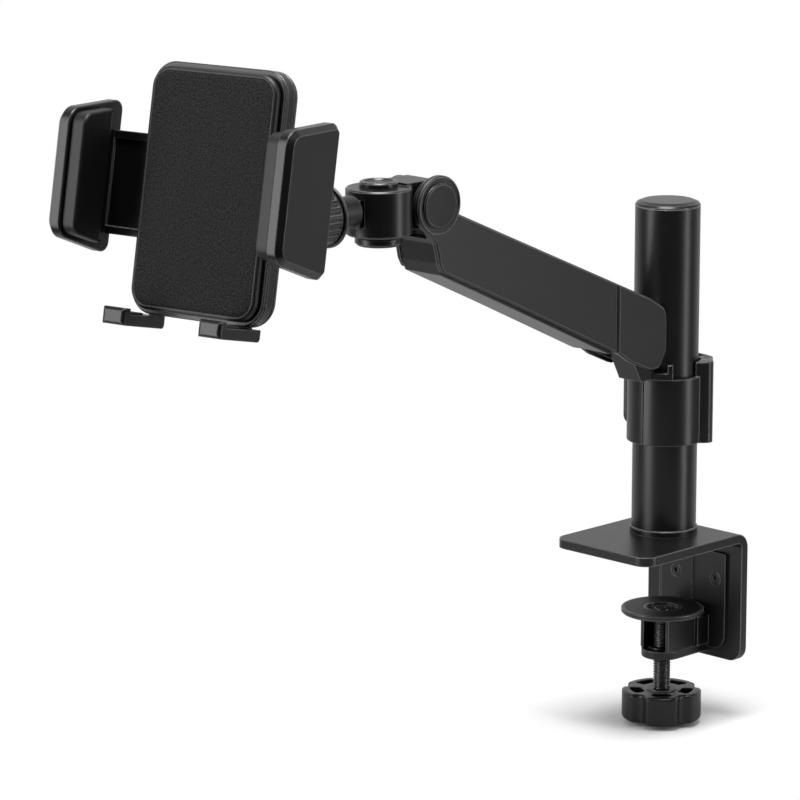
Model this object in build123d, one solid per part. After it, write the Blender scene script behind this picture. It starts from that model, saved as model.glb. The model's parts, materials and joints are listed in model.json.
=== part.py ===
from build123d import *
import os
from math import atan2, cos, pi, radians, sin, sqrt, tan

os.makedirs("parts", exist_ok=True)

# Millimetres. Origin on the pole axis, on the desk contact face under the top plate.
# +Z is up, +X points at the vertical clamp plate, the arm reaches along -X.

# Fits and small clearances
FIT = 0.05            # radial clearance of a running fit
SIDE = 0.1            # play beside a flat sliding face
CLEAR = 0.3           # room between pieces that move past each other
EDGE = 0.8            # visible edge chamfer

# Desk clamp
PLATE_T = 5.0         # thickness of the bent plate
PLATE_FRONT = -54.0   # free edge of the top plate
PLATE_BACK = 29.0     # outer face of the vertical plate
PLATE_W = 67.0
PLATE_DROP = 67.5     # vertical plate below the desk face
CLAMP_Y = -2.0        # centre line of the clamp
PLATE_CORNER = 8.0
BEND_R = 3.5          # inside of the bend
PANEL_T = 2.0
PANEL_W = 47.2
PANEL_TOP = -8.0
PANEL_BOTTOM = -62.0
RIB_T = 1.0
CHANNEL_W = 20.0
CHANNEL_WALL = 2.0
CHANNEL_TOP = -42.9
CHANNEL_REACH = 6.3   # channel lips in front of the screw axis
FOOT_TOP = -60.0
FOOT_T = 4.5
FOOT_R = 11.3
FIX_R = 2.0           # shank of the fixing screws
FIX_HEAD_R = 3.8
FIX_NEAR = -16.5      # fixing screws from the centre line
FIX_FAR = 10.8
STRIP_W = 22.6        # raised strip on the panel and its offset
STRIP_SHIFT = 10.2
FIX_Z = -22.7

# Clamp screw, disc and knob
SCREW_X = -2.2
SCREW_R = 4.7
BUSH_R = 6.5
DISC_TOP = -37.0
DISC_T = 3.0
DISC_R = 22.5
RUBBER_IN = 10.5
RUBBER_OUT = 20.8
RUBBER_T = 1.0
DISC_DISH_R = 8.5
DISC_DISH = 1.6
TIP_R = 2.0
TIP_HEAD_R = 4.6
KNOB_TOP = -83.0
KNOB_H = 16.0
KNOB_R = 21.6
KNOB_LOBES = 5
KNOB_TURN = 221.5     # direction of the first lobe
NOTCH_R = 5.0
NOTCH_PITCH_R = 23.5
KNOB_HUB_R = 8.5
KNOB_RIM = 4.2
POCKET_HALF = 22.0    # half the angle of a pocket in a lobe
KNOB_SINK = 11.0      # screw inside the knob
BASE_R = 12.0
BASE_T = 2.5

# Pole
POLE_R = 17.5
POLE_WALL = 2.5
POLE_SEAM = 184.0     # joint line of the cap
CAP_H = 2.8
CAP_SLOPE = 3.7       # width of the cap's sloping rim
CAP_SPIGOT = 12.0
BASE_RING_T = 0.8
BASE_RING_H = 3.5
PLUG_H = 22.0
BOLT_R = 4.0
BOLT_HEAD_R = 8.0
BOLT_L = 22.0

# Collar
COLLAR_WALL = 1.9
COLLAR_Z0 = 56.0       # lower end at rest
COLLAR_H = 36.5
LINER_WALL = 1.2
BEAD = 0.6            # height of the ring bead that keeps the liner in the collar
BEAD_H = 3.0
CUT_LINER = 20.0      # width of the split in the liner, in degrees
SEAM_ANGLE = 186.5    # upright seam between jaw and body
EAR_TURN = -45.0      # direction of the ears
EAR_FRONT = -11.0     # across the ears, toward the viewer
EAR_BACK = 4.0
EAR_REACH = 4.5       # ears outside the collar
EAR_SPLIT = -3.5
EAR_RISE = 7.8        # ears above the collar
SLIT = 0.6
PIN_OUT = 3.4         # lever pin outside the collar
PIN_ANGLE = -21.7
PIN_R = 1.5
HUB_R = 3.9
LEVER_REACH = 7.3     # lever's outer face outside the collar
LEVER_T = 1.7
LEVER_END = 95.0
LEVER_UP = 4.0        # lower edge of the lever above the collar's lower end
LEVER_H = 39.0
TIE_UP = 22.0
TIE_R = 2.0
TIE_BLIND = 2.5       # metal left in front of the blind end of the tie bolt
EYE_R = 2.9
EYE_H = 6.8
FLANGE_REACH = 2.1    # saddle flange outside the collar
FLANGE_T = 3.7
FLANGE_HALF = 51.0    # half the angle of the saddle flange
LUG_HALF = 3.5
LUG_H = 8.2

# Arm, in the upright plane of the pole and the arm
ARM_W = 31.0
COVER_T = 3.0
LIFT_OUT = 18.5       # lift axle to the pole's wall
LIFT_UP = 33.5        # lift axle above the collar
ARM_SPAN = 154.2      # lift axle to pitch axle, level
ARM_RISE = 82.7       # and upright
TONGUE_R = 8.8
TONGUE_W = 15.6
LIFT_WASHER = 0.8
AXLE_R = 4.0
AXLE_HEAD_R = 6.8
AXLE_HEAD_T = 3.1
SEAM_BACK = 20.0      # seam between long and rear covers, in front of the lift axle
SEAM_GAP = 1.0
FRONT_TOP = (12.0, -5.0)           # outline points from the pitch axle
CHIN_AT = [(2.7, -34.3), (0.2, -29.9), (-0.9, -24.7), (-2.4, -19.4), (-5.2, -16.0)]
BELLY_FRONT = (54.8, -58.0)
BELLY_REAR = (-24.8, -10.4)        # outline points from the lift axle
REAR_TOP = (-3.2, 17.3)
REAR_AT = [(5.2, 13.7), (16.9, 6.7), (18.8, 2.7), (19.0, -16.4), (13.6, -25.6), (5.6, -25.5), (-10.5, -18.4),
           (-17.7, -13.6)]
REAR_R = [10.0, 4.0, 2.0, 3.0, 4.5, 4.0, 6.0, 5.0]
FRAME_DROP = 2.0      # frame below the side covers, seen as a crowned belly
FRAME_INSET = 1.2
WALL = 3.0
BOSS_R = 15.3
BOSS_FAR_R = 12.2     # the far boss and cap are smaller
CAP_FAR_R = 9.0
BOSS_RIM = 1.3
RING_DEEP = 0.9
CAP_R = 11.5
CAP_PROUD = 0.8

# Head
HEAD_TONGUE_W = 18.6
HEAD_TONGUE_R = 12.8
HEAD_HALF_H = 11.2
PITCH_WASHER = 0.6
DRUM_OUT = 28.0       # swivel axis in front of the pitch axle
DRUM_R = 16.7
DRUM_LOW = 12.5       # drum below and above the pitch axle
DRUM_UP = 11.3
SLOT_H = 14.0
TAB_R = 12.6
SWIVEL_R = 4.0
SWIVEL_HEAD_R = 7.0
SWIVEL_CAP_R = 9.7
SWIVEL_CAP_H = 3.1
NUT_R = 12.0
NUT_H = 4.5
NUT_STEP = 0.8
SWING = 75.0          # swivel of the neck away from its rest
SLOT_SIDE = 19.5      # half the angle that the stem takes in the drum
STEM_HALF = 4.0

# Ball joint, measured from the ball centre
BALL_OUT = 53.8       # ball centre in front of the swivel axis
BALL_UP = 1.3         # and above the pitch axle
BALL_R = 9.0
SEAT_R = 10.4
CUP_R = 12.3
CUP_OPEN = 1.5        # cup mouth past the ball centre
RING_OUT = 14.5
FLANGE_BACK = 17.4
COLLAR_BACK = 15.8
NECK_FLANGE_R = 16.0
NECK_R = 8.0
LIP_R = 7.2
LIP_AT = 6.2
RIBS = 24

# Phone cradle: local x to the right, y up, z out of the pad toward the phone
YAW = 190.0
TILT = 11.1
REACH = 82.0          # ball centre to the pad face
RISE = 9.0            # pad centre above the ball axis
PAD_W = 73.8
PAD_H = 116.6
PAD_T = 4.2
PAD_CORNER = 10.5
PAD_FOOT = 1.0        # height and depth of the groove under the pad's edge
RIM = 2.3             # bezel outside the pad
SEAM = 0.5            # chamfer on both sides of a seam
BEZEL_T = 2.0
HOUSING_T = 5.9
SHELL_T = 3.3
SHELL_WALL = 2.4
SHELL_EDGE = 2.2
RAIL_T = 2.2
RAIL_H = 50.0
RAIL_LEDGE = 3.8
RAIL_DISH = 1.0       # depth of the panel between the ledges
RAIL_HOLD = 3.0       # length of rail inside the jaw
CONE_L = 25.0
CONE_R = 19.0
CONE_END_R = 8.5
SPIGOT_R = 3.5
STALK_R = 5.5
STALK_NECK_R = 4.3
GRIP = 106.0          # width between the jaws at rest
JAW_TRAVEL = 20.0
JAW_PAD_T = 7.4
JAW_PAD_BACK = 5.8    # rear end of the soft pad, in front of the face pad
JAW_PAD_EDGE = 1.2
JAW_INSET = 2.2       # pad inside the outline of its shell
JAW_SHELL_T = 8.1
JAW_GROOVE = 0.5
JAW_CHAMFER = 2.8
JAW_FRONT = 29.2
JAW_H = 75.2
JAW_FRONT_H = 60.5
JAW_UP = 2.6
JAW_CORNER = 9.0
JAW_REAR_CORNER = 5.0
MODULE = 1.0
TEETH = 18
PRESSURE = 20.0       # pressure angle of the teeth
BACKLASH = 0.14
GEAR_PIN_R = 2.5
PIN_SEAT = 0.7        # pin inside the floor under the rails
FOOT_W = 13.3
FOOT_SPACING = 57.0
FOOT_SHIFT = -3.0
FOOT_FRONT = 18.0
FOOT_H = 6.0
FOOT_RISE = 0.8       # underside higher at the front
FOOT_EDGE = 2.0
LIP_T = 5.0
LIP_H = 3.0
LEG_W = 8.0
LEG_T = 2.0
LEG_UP = 38.0
BRIDGE_H = 6.0        # bar that joins the legs
FOOT_GAP = 0.6
CASE_SCREW_R = 1.5
CASE_SCREW_HEAD_R = 3.0
CASE_SCREW_L = 7.5

# Values that follow from the sizes above
COLLAR_Z1 = COLLAR_Z0 + COLLAR_H
EAR_TOP = COLLAR_Z1 + EAR_RISE
LEVER_Z0 = COLLAR_Z0 + LEVER_UP
LEVER_Z1 = LEVER_Z0 + LEVER_H
TIE_Z = COLLAR_Z0 + TIE_UP
LIFT_Z = COLLAR_Z1 + LIFT_UP
LIFT_X = -POLE_R - LIFT_OUT
PITCH_X = LIFT_X - ARM_SPAN
PITCH_Z = LIFT_Z + ARM_RISE
SEAM_X = LIFT_X - SEAM_BACK
TOP_LEFT = (PITCH_X + FRONT_TOP[0], PITCH_Z + FRONT_TOP[1])
TOP_RIGHT = (LIFT_X + REAR_TOP[0], LIFT_Z + REAR_TOP[1])
CHIN = [(PITCH_X + dx, PITCH_Z + dz) for dx, dz in CHIN_AT]
BELLY = [(LIFT_X + BELLY_REAR[0], LIFT_Z + BELLY_REAR[1]), (PITCH_X + BELLY_FRONT[0], PITCH_Z + BELLY_FRONT[1])]
REAR = [(LIFT_X + dx, LIFT_Z + dz) for dx, dz in REAR_AT]
DRUM_X = PITCH_X - DRUM_OUT
DRUM_Z0 = PITCH_Z - DRUM_LOW
DRUM_Z1 = PITCH_Z + DRUM_UP
BALL_X = DRUM_X - BALL_OUT
BALL_Z = PITCH_Z + BALL_UP
SLOT_Z0 = PITCH_Z - SLOT_H / 2
SLOT_Z1 = PITCH_Z + SLOT_H / 2
PLATE_IN = PLATE_BACK - PLATE_T
PANEL_X = PLATE_IN - PANEL_T
RIB_X = PANEL_X - RIB_T
FOOT_BOTTOM = FOOT_TOP - FOOT_T
DISC_BOTTOM = DISC_TOP - DISC_T
SPINDLE_TOP = DISC_BOTTOM - SIDE
LINER_IN = POLE_R + FIT
LINER_OUT = LINER_IN + LINER_WALL
BORE_R = LINER_OUT + FIT
COLLAR_R = BORE_R + COLLAR_WALL
EAR_OUT = COLLAR_R + EAR_REACH
PIN_REACH = COLLAR_R + PIN_OUT
LEVER_OUT = COLLAR_R + LEVER_REACH
FLANGE_R = COLLAR_R + FLANGE_REACH
BASE_RING_R = POLE_R + BASE_RING_T
CAP_FLAT_R = POLE_R - CAP_SLOPE
FLANGE_Z0 = COLLAR_Z1 + CLEAR
FLANGE_Z1 = FLANGE_Z0 + FLANGE_T
LUG_TOP = FLANGE_Z0 + LUG_H
LEVER_IN = LEVER_OUT - LEVER_T
PIN_X = PIN_REACH * cos(radians(PIN_ANGLE - EAR_TURN))
PIN_Y = PIN_REACH * sin(radians(PIN_ANGLE - EAR_TURN))
FRAME_HALF = ARM_W / 2 - COVER_T
LIFT_HEAD = FRAME_HALF - 1.6
PITCH_HEAD = FRAME_HALF - 1.0
SWIVEL_SEAT = DRUM_Z1 - 2.4
LIFT_FORK = TONGUE_W / 2 + LIFT_WASHER
PITCH_FORK = HEAD_TONGUE_W / 2 + PITCH_WASHER
HEAD_SWEEP = sqrt((PITCH_X - DRUM_X - DRUM_R) ** 2 + max(DRUM_LOW, HEAD_TONGUE_R) ** 2) + CLEAR
ARM_SLOPE = (TOP_RIGHT[1] - TOP_LEFT[1]) / (TOP_RIGHT[0] - TOP_LEFT[0])
BODY_W = PAD_W + 2 * RIM
BODY_H = PAD_H + 2 * RIM
BODY_CORNER = PAD_CORNER + RIM
BEZEL_BACK = -PAD_T - BEZEL_T
HOUSING_BACK = BEZEL_BACK - HOUSING_T
CASE_BACK = HOUSING_BACK - SHELL_T
RAIL_FRONT = BEZEL_BACK - 2 * SIDE
RAIL_MID = RAIL_FRONT - RAIL_T
RAIL_BACK = RAIL_MID - SIDE - RAIL_T
RAIL_FLOOR = RAIL_BACK - 2 * SIDE
JAW_BACK = RAIL_BACK - CLEAR
LEG_FRONT = HOUSING_BACK - SIDE
LEG_BACK = LEG_FRONT - LEG_T
FOOT_TOP_H = -BODY_H / 2 - FOOT_GAP
PITCH_LINE = MODULE * TEETH / 2
JAW_JOIN = GRIP / 2 + JAW_PAD_T       # plane where the pad stands on its shell

AHEAD = Vector(cos(radians(YAW)), sin(radians(YAW)), 0)
NORMAL = AHEAD * cos(radians(TILT)) + Vector(0, 0, sin(radians(TILT)))
RIGHT = Vector(-sin(radians(YAW)), cos(radians(YAW)), 0)
UP = NORMAL.cross(RIGHT)
BALL = Vector(BALL_X, 0, BALL_Z)
CRADLE = Plane(origin=BALL + NORMAL * REACH + UP * RISE, x_dir=RIGHT, z_dir=NORMAL)
STALK = Plane(origin=BALL, x_dir=RIGHT, z_dir=NORMAL)
CUP = Plane(origin=BALL, x_dir=(0, -1, 0), z_dir=(-1, 0, 0))


def span(x0, x1, y0, y1, z0, z1):
    """A block between two corners."""
    return Pos((x0 + x1) / 2, (y0 + y1) / 2, (z0 + z1) / 2) * Box(abs(x1 - x0), abs(y1 - y0), abs(z1 - z0))


def post(radius, z0, z1, x=0.0, y=0.0):
    """An upright cylinder."""
    return Pos(x, y, (z0 + z1) / 2) * Cylinder(radius, abs(z1 - z0))


def bar(radius, y0, y1, x, z):
    """A cylinder along Y."""
    return Pos(x, (y0 + y1) / 2, z) * Rot(90, 0, 0) * Cylinder(radius, abs(y1 - y0))


def profile(points):
    """A flat face with straight sides."""
    return make_face(Polyline(*points, close=True))


def turned(points):
    """A solid turned about Z, from points of radius and height."""
    return revolve(Plane.XZ * profile(points), axis=Axis.Z)


def side_plate(face, y0, y1):
    """A face drawn in X and Z, given thickness along Y."""
    return extrude(Plane.XZ.offset(-y1) * face, amount=y1 - y0)


def sector(r0, r1, a0, a1, z0, z1):
    """Part of a ring, between two angles about Z."""
    outer = CenterArc((0, 0), r1, a0, a1 - a0)
    inner = CenterArc((0, 0), r0, a0, a1 - a0)
    sides = [Line(outer @ 0, inner @ 0), Line(outer @ 1, inner @ 1)]
    return extrude(Pos(0, 0, z0) * make_face([outer, inner] + sides), amount=z1 - z0)


def slab(width, height, corner, z0, z1):
    """A plate with rounded corners in the cradle's own frame."""
    return extrude(Pos(0, 0, z0) * RectangleRounded(width, height, corner), amount=z1 - z0)


def ear_frame(part):
    """Turns a piece drawn along the ears into its place on the collar."""
    return Rot(0, 0, EAR_TURN) * part


def hex_key(flats, z0, z1):
    """A hexagonal prism along Z."""
    return extrude(Pos(0, 0, z0) * RegularPolygon(flats / sqrt(3), 6), amount=z1 - z0)


# Desk clamp

def sink(radius, head_r, head_h, length):
    """Countersunk screw along Z, its head face at zero and its shank upward."""
    return turned([(0, 0), (head_r, 0), (radius, head_h), (radius, length), (0, length)])


def pole_screw():
    return sink(BOLT_R, BOLT_HEAD_R, BOLT_HEAD_R - BOLT_R, BOLT_L)


def clamp_bracket():
    outline = profile([(PLATE_FRONT, 0), (PLATE_FRONT, PLATE_T), (PLATE_BACK, PLATE_T), (PLATE_BACK, -PLATE_DROP),
                       (PLATE_IN, -PLATE_DROP), (PLATE_IN, 0)])
    bends = outline.vertices().sort_by(lambda v: v.X + v.Y)
    outline = fillet(bends[-2], BEND_R)
    outline = fillet(outline.vertices().sort_by(lambda v: v.X + v.Y)[-1], BEND_R + PLATE_T)
    body = side_plate(outline, CLAMP_Y - PLATE_W / 2, CLAMP_Y + PLATE_W / 2)
    body = fillet(body.edges().filter_by(Axis.Z).group_by(Axis.X)[0], PLATE_CORNER)
    body = fillet(body.edges().filter_by(Axis.X).group_by(Axis.Z)[0], PLATE_CORNER)
    body = fillet(body.faces().filter_by(Axis.Z).sort_by(Axis.Z)[-1].edges(), EDGE / 2)
    for screw in fixing_screws():
        body -= screw
    return body - pole_screw()


def fixing_screws():
    """The two screws that hold the casting to the vertical plate, without their sockets."""
    depth = PANEL_T + PLATE_T - 1.0
    side = Rot(0, 90, 0) * sink(FIX_R, FIX_HEAD_R, FIX_HEAD_R - FIX_R, depth)
    places = [(PANEL_X, FIX_NEAR), (RIB_X, FIX_FAR)]
    return [Pos(x, CLAMP_Y + y, FIX_Z) * side for x, y in places]


def bracket_screws():
    key = Rot(0, 90, 0) * hex_key(2.5, -1.0, 1.5)
    return Compound(children=[s - Pos(s.bounding_box().min.X, s.center().Y, FIX_Z) * key for s in fixing_screws()])


def screw_bracket():
    panel = span(PANEL_X, PLATE_IN, CLAMP_Y - PANEL_W / 2, CLAMP_Y + PANEL_W / 2, PANEL_BOTTOM, PANEL_TOP)
    panel = fillet(panel.edges().filter_by(Axis.X).group_by(Axis.Z)[0], PLATE_CORNER)
    half = CHANNEL_W / 2
    lip = SCREW_X - CHANNEL_REACH
    middle = CLAMP_Y + STRIP_SHIFT
    rib = span(RIB_X, PANEL_X + 1, middle - STRIP_W / 2, middle + STRIP_W / 2, FOOT_TOP, PANEL_TOP - 2)
    channel = span(lip, PANEL_X, CLAMP_Y - half, CLAMP_Y + half, FOOT_TOP, CHANNEL_TOP)
    channel += span(PANEL_X - 9, PANEL_X, CLAMP_Y - half - 2.2, CLAMP_Y + half + 2.2, FOOT_TOP, CHANNEL_TOP - 1)
    room = half - CHANNEL_WALL
    channel -= span(lip - 1, PANEL_X - 3, CLAMP_Y - room, CLAMP_Y + room, FOOT_TOP, CHANNEL_TOP)
    foot = post(FOOT_R, FOOT_BOTTOM, FOOT_TOP, SCREW_X, CLAMP_Y)
    foot += span(SCREW_X, PLATE_IN, CLAMP_Y - FOOT_R, CLAMP_Y + FOOT_R, FOOT_BOTTOM, FOOT_TOP)
    foot = fillet(foot.edges().group_by(Axis.Z)[0], EDGE)
    body = panel + rib + channel + foot
    body -= post(BUSH_R, FOOT_BOTTOM - 1, FOOT_TOP + 1, SCREW_X, CLAMP_Y)
    for screw in fixing_screws():
        body -= screw
    return body


def thread_bush():
    bore = SCREW_R + FIT
    bush = turned([(bore, FOOT_BOTTOM), (BUSH_R, FOOT_BOTTOM), (BUSH_R, FOOT_TOP), (BUSH_R + 1.1, FOOT_TOP),
                   (BUSH_R + 1.1, FOOT_TOP + 1), (bore, FOOT_TOP + 1)])
    return Pos(SCREW_X, CLAMP_Y, 0) * bush


def pad_disc():
    recess = DISC_TOP - RUBBER_T
    dish = DISC_TOP - DISC_DISH
    boss = DISC_BOTTOM - DISC_T
    disc = turned([(TIP_R + FIT, dish), (DISC_DISH_R, dish), (DISC_DISH_R, DISC_TOP), (RUBBER_IN, DISC_TOP),
                   (RUBBER_IN, recess), (RUBBER_OUT, recess), (RUBBER_OUT, DISC_TOP), (DISC_R - EDGE / 2, DISC_TOP),
                   (DISC_R, DISC_TOP - EDGE / 2), (DISC_R, DISC_BOTTOM + EDGE), (DISC_R - EDGE, DISC_BOTTOM),
                   (BUSH_R, DISC_BOTTOM), (BUSH_R, boss), (SCREW_R + FIT, boss), (SCREW_R + FIT, DISC_BOTTOM),
                   (TIP_R + FIT, DISC_BOTTOM)])
    return Pos(SCREW_X, CLAMP_Y, 0) * disc


def pad_rubber():
    low = DISC_TOP - RUBBER_T
    ring = turned([(RUBBER_IN, low), (RUBBER_OUT, low), (RUBBER_OUT, DISC_TOP), (RUBBER_IN, DISC_TOP)])
    return Pos(SCREW_X, CLAMP_Y, 0) * ring


def tip_screw():
    seat = DISC_TOP - DISC_DISH + FIT
    top = DISC_TOP - EDGE / 2
    body = turned([(0, seat - 8), (TIP_R, seat - 8), (TIP_R, seat), (TIP_HEAD_R, seat), (TIP_HEAD_R, top - EDGE / 2),
                   (TIP_HEAD_R - EDGE / 2, top), (0, top)])
    body -= hex_key(2.5, top - 0.9, top + 1)
    return Pos(SCREW_X, CLAMP_Y, 0) * body


def clamp_screw():
    low = KNOB_TOP - KNOB_SINK
    body = turned([(0, low), (SCREW_R, low), (SCREW_R, SPINDLE_TOP - 1), (SCREW_R - 1, SPINDLE_TOP), (0, SPINDLE_TOP)])
    body -= post(TIP_R, DISC_TOP - DISC_DISH + FIT - 8, SPINDLE_TOP + 1)
    return Pos(SCREW_X, CLAMP_Y, 0) * body


def clamp_knob():
    low = KNOB_TOP - KNOB_H
    face = Circle(KNOB_R)
    step = 360 / KNOB_LOBES
    for i in range(KNOB_LOBES):
        face -= Rot(0, 0, step * (i + 0.5)) * Pos(NOTCH_PITCH_R, 0) * Circle(NOTCH_R)
    face = fillet(face.vertices(), 2.6)
    body = extrude(Pos(0, 0, low) * face, amount=KNOB_H)
    body = fillet(body.edges().group_by(Axis.Z)[-1] + body.edges().group_by(Axis.Z)[0], 1.6)
    rim = KNOB_R - KNOB_RIM
    pocket = sector(KNOB_HUB_R + 2, rim, -POCKET_HALF, POCKET_HALF, KNOB_TOP - 8, KNOB_TOP + 1)
    pocket = fillet(pocket.edges().filter_by(Axis.Z), 1.8)
    for i in range(KNOB_LOBES):
        body -= Rot(0, 0, step * i) * pocket
    body += post(KNOB_HUB_R, KNOB_TOP - 2, KNOB_TOP + 0.6)
    body -= post(SCREW_R, KNOB_TOP - KNOB_SINK, KNOB_TOP + 2)
    body -= post(BASE_R / 2, low - 1, low + 2)
    return Pos(SCREW_X, CLAMP_Y, 0) * Rot(0, 0, KNOB_TURN) * body


def knob_base():
    low = KNOB_TOP - KNOB_H
    body = turned([(0, low - BASE_T), (BASE_R - EDGE, low - BASE_T), (BASE_R, low - BASE_T + EDGE), (BASE_R, low),
                   (BASE_R / 2, low), (BASE_R / 2, low + 2), (0, low + 2)])
    return Pos(SCREW_X, CLAMP_Y, 0) * body


# Pole

def pole():
    return post(POLE_R, PLATE_T, POLE_SEAM) - post(POLE_R - POLE_WALL, PLATE_T - 1, POLE_SEAM + 1)


def pole_base_ring():
    top = PLATE_T + BASE_RING_H
    return turned([(POLE_R, PLATE_T), (BASE_RING_R, PLATE_T), (BASE_RING_R, top - EDGE / 2), (POLE_R + EDGE / 2, top),
                   (POLE_R, top)])


def pole_cap():
    inside = POLE_R - POLE_WALL
    low = POLE_SEAM - CAP_SPIGOT
    top = POLE_SEAM + CAP_H
    return turned([(0, POLE_SEAM - 2), (inside - 2, POLE_SEAM - 2), (inside - 2, low), (inside, low),
                   (inside, POLE_SEAM), (POLE_R, POLE_SEAM), (POLE_R, POLE_SEAM + 0.5), (POLE_R - 0.9, POLE_SEAM + 1.7),
                   (CAP_FLAT_R, top), (0, top)])


def pole_plug():
    inside = POLE_R - POLE_WALL
    top = PLATE_T + PLUG_H
    return post(inside, PLATE_T, top) - post(BOLT_R, PLATE_T - 1, BOLT_L)


def pole_bolt():
    return pole_screw() - hex_key(5.0, -1.0, 2.6)


# Collar

def liner_shape(inner, outer, bead):
    mid = (COLLAR_Z0 + COLLAR_Z1) / 2
    z0 = COLLAR_Z0 + CLEAR
    z1 = COLLAR_Z1 - CLEAR
    half = BEAD_H / 2 + bead - BEAD
    return turned([(inner, z0), (outer, z0), (outer, mid - half), (outer + bead, mid - half),
                   (outer + bead, mid + half), (outer, mid + half), (outer, z1), (inner, z1)])


def collar_liner():
    body = liner_shape(LINER_IN, LINER_OUT, BEAD)
    return body - sector(1, COLLAR_R, 90, 90 + CUT_LINER / 2, COLLAR_Z0, COLLAR_Z1)


def clamp_ring():
    """Collar shell with both ears, before it is split into jaw and body."""
    ring = post(COLLAR_R, COLLAR_Z0, COLLAR_Z1)
    ring = fillet(ring.edges(), EDGE / 2)
    ear = span(POLE_R - 3, EAR_OUT, EAR_FRONT, EAR_BACK, COLLAR_Z0, EAR_TOP)
    outer = ear.edges().filter_by(Axis.Z).group_by(Axis.X)[-1].sort_by(Axis.Y)
    ear = fillet(outer[0], 4.6)
    ear = fillet(ear.edges().filter_by(Axis.Z).sort_by(lambda e: e.center().X + e.center().Y)[-1], 3.4)
    ear = fillet(ear.edges().group_by(Axis.Z)[-1], EDGE)
    ring += ear_frame(ear)
    ring -= post(BORE_R, COLLAR_Z0 - 1, EAR_TOP + 1)
    ring -= liner_shape(1, BORE_R, BEAD + FIT)
    ring -= ear_frame(bar(TIE_R, EAR_FRONT + TIE_BLIND, EAR_BACK + 1, PIN_X, TIE_Z))
    return ring - ear_frame(post(HUB_R + CLEAR, LEVER_Z0 - CLEAR, EAR_TOP + 1, PIN_X, PIN_Y))


def jaw_side(gap):
    """The region in front of the seam and of the split, narrowed by a gap."""
    far = 90.0
    seam = radians(SEAM_ANGLE - EAR_TURN) + gap / COLLAR_R
    split = EAR_SPLIT - gap
    edge = (far / tan(seam), far)
    face = profile([(0, 0), (-edge[0], -edge[1]), (far, -far), (far, split), (0, split)])
    return ear_frame(extrude(Pos(0, 0, COLLAR_Z0 - 5) * face, amount=60))


def clamp_jaw():
    return clamp_ring() & jaw_side(SLIT / 2)


def lift_tongue():
    """Upright tongue that carries the arm on the saddle."""
    low = FLANGE_Z0
    back = -POLE_R - 1.1
    face = profile([(LIFT_X, LIFT_Z), (LIFT_X - TONGUE_R + 0.4, LIFT_Z - 3), (-FLANGE_R - 6, low), (back, low),
                    (back, LIFT_Z - 14), (LIFT_X + TONGUE_R - 0.6, LIFT_Z + 3)])
    face += Pos(LIFT_X, LIFT_Z) * Circle(TONGUE_R)
    half = TONGUE_W / 2
    return side_plate(face, -half, half) - bar(AXLE_R + FIT, -half - 1, half + 1, LIFT_X, LIFT_Z)


def collar_body():
    ring = clamp_ring() - jaw_side(-SLIT / 2)
    a0 = 180 - FLANGE_HALF
    a1 = 180 + FLANGE_HALF
    inner = POLE_R + 1.0
    flange = sector(inner, FLANGE_R, a0, a1, FLANGE_Z0, FLANGE_Z1)
    flange += sector(inner + 1.2, FLANGE_R, a0, a0 + 2 * LUG_HALF, FLANGE_Z0, LUG_TOP)
    flange += sector(inner + 1.2, FLANGE_R, a1 - 2 * LUG_HALF, a1, FLANGE_Z0, LUG_TOP)
    flange += sector(BORE_R, COLLAR_R - EDGE / 2, a0, SEAM_ANGLE - 1, COLLAR_Z1 - 1, FLANGE_Z0 + 1)
    return ring + flange + lift_tongue()


def tie_bolt():
    rod = bar(TIE_R, EAR_FRONT + TIE_BLIND, PIN_Y, PIN_X, TIE_Z)
    rod += post(EYE_R, TIE_Z - EYE_H / 2, TIE_Z + EYE_H / 2, PIN_X, PIN_Y)
    return ear_frame(rod - post(PIN_R, TIE_Z - EYE_H, TIE_Z + EYE_H, PIN_X, PIN_Y))


def cam_washer():
    block = span(COLLAR_R - CLEAR, EAR_OUT - 2 * EDGE, EAR_BACK, PIN_Y - 2, TIE_Z - 8, TIE_Z + 8)
    block -= post(HUB_R + FIT, LEVER_Z0, LEVER_Z1, PIN_X, PIN_Y)
    block -= bar(TIE_R, EAR_BACK - 1, PIN_Y, PIN_X, TIE_Z)
    return ear_frame(block)


def lever_pin():
    return ear_frame(post(PIN_R, LEVER_Z0 + 0.5, LEVER_Z1 - 0.5, PIN_X, PIN_Y))


def lever():
    handle = sector(LEVER_IN, LEVER_OUT, PIN_ANGLE, LEVER_END, LEVER_Z0, LEVER_Z1)
    tip = handle.edges().filter_by(lambda e: abs(e.length - LEVER_T) < 0.01).sort_by(Axis.X)[:2]
    handle = fillet(tip, 6.0)
    body = handle + ear_frame(post(HUB_R, LEVER_Z0, LEVER_Z1, PIN_X, PIN_Y))
    body -= ear_frame(post(PIN_R + FIT, LEVER_Z0 - 1, LEVER_Z1 + 1, PIN_X, PIN_Y))
    room = EYE_H / 2 + CLEAR
    return body - ear_frame(post(HUB_R + 0.5, TIE_Z - room, TIE_Z + room, PIN_X, PIN_Y))


# Arm

def top_line(x):
    return TOP_LEFT[1] + ARM_SLOPE * (x - TOP_LEFT[0])


def side_outline(boss):
    """Side view of the arm in front of the seam, with the round boss."""
    x = SEAM_X - SEAM_GAP / 2
    low = BELLY[0][1] + (x - BELLY[0][0]) * (BELLY[1][1] - BELLY[0][1]) / (BELLY[1][0] - BELLY[0][0])
    top = PITCH_X + boss / 2
    face = profile([(PITCH_X, PITCH_Z), (top, top_line(top)), (x, top_line(x)), (x, low)] + BELLY + CHIN
                   + [(PITCH_X - boss / 2, PITCH_Z - boss * 0.8)])
    corner = face.vertices().sort_by_distance(Vector(*CHIN[0]))[:2]
    face = fillet(corner, 2.5)
    return face + Pos(PITCH_X, PITCH_Z) * Circle(boss)


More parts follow.
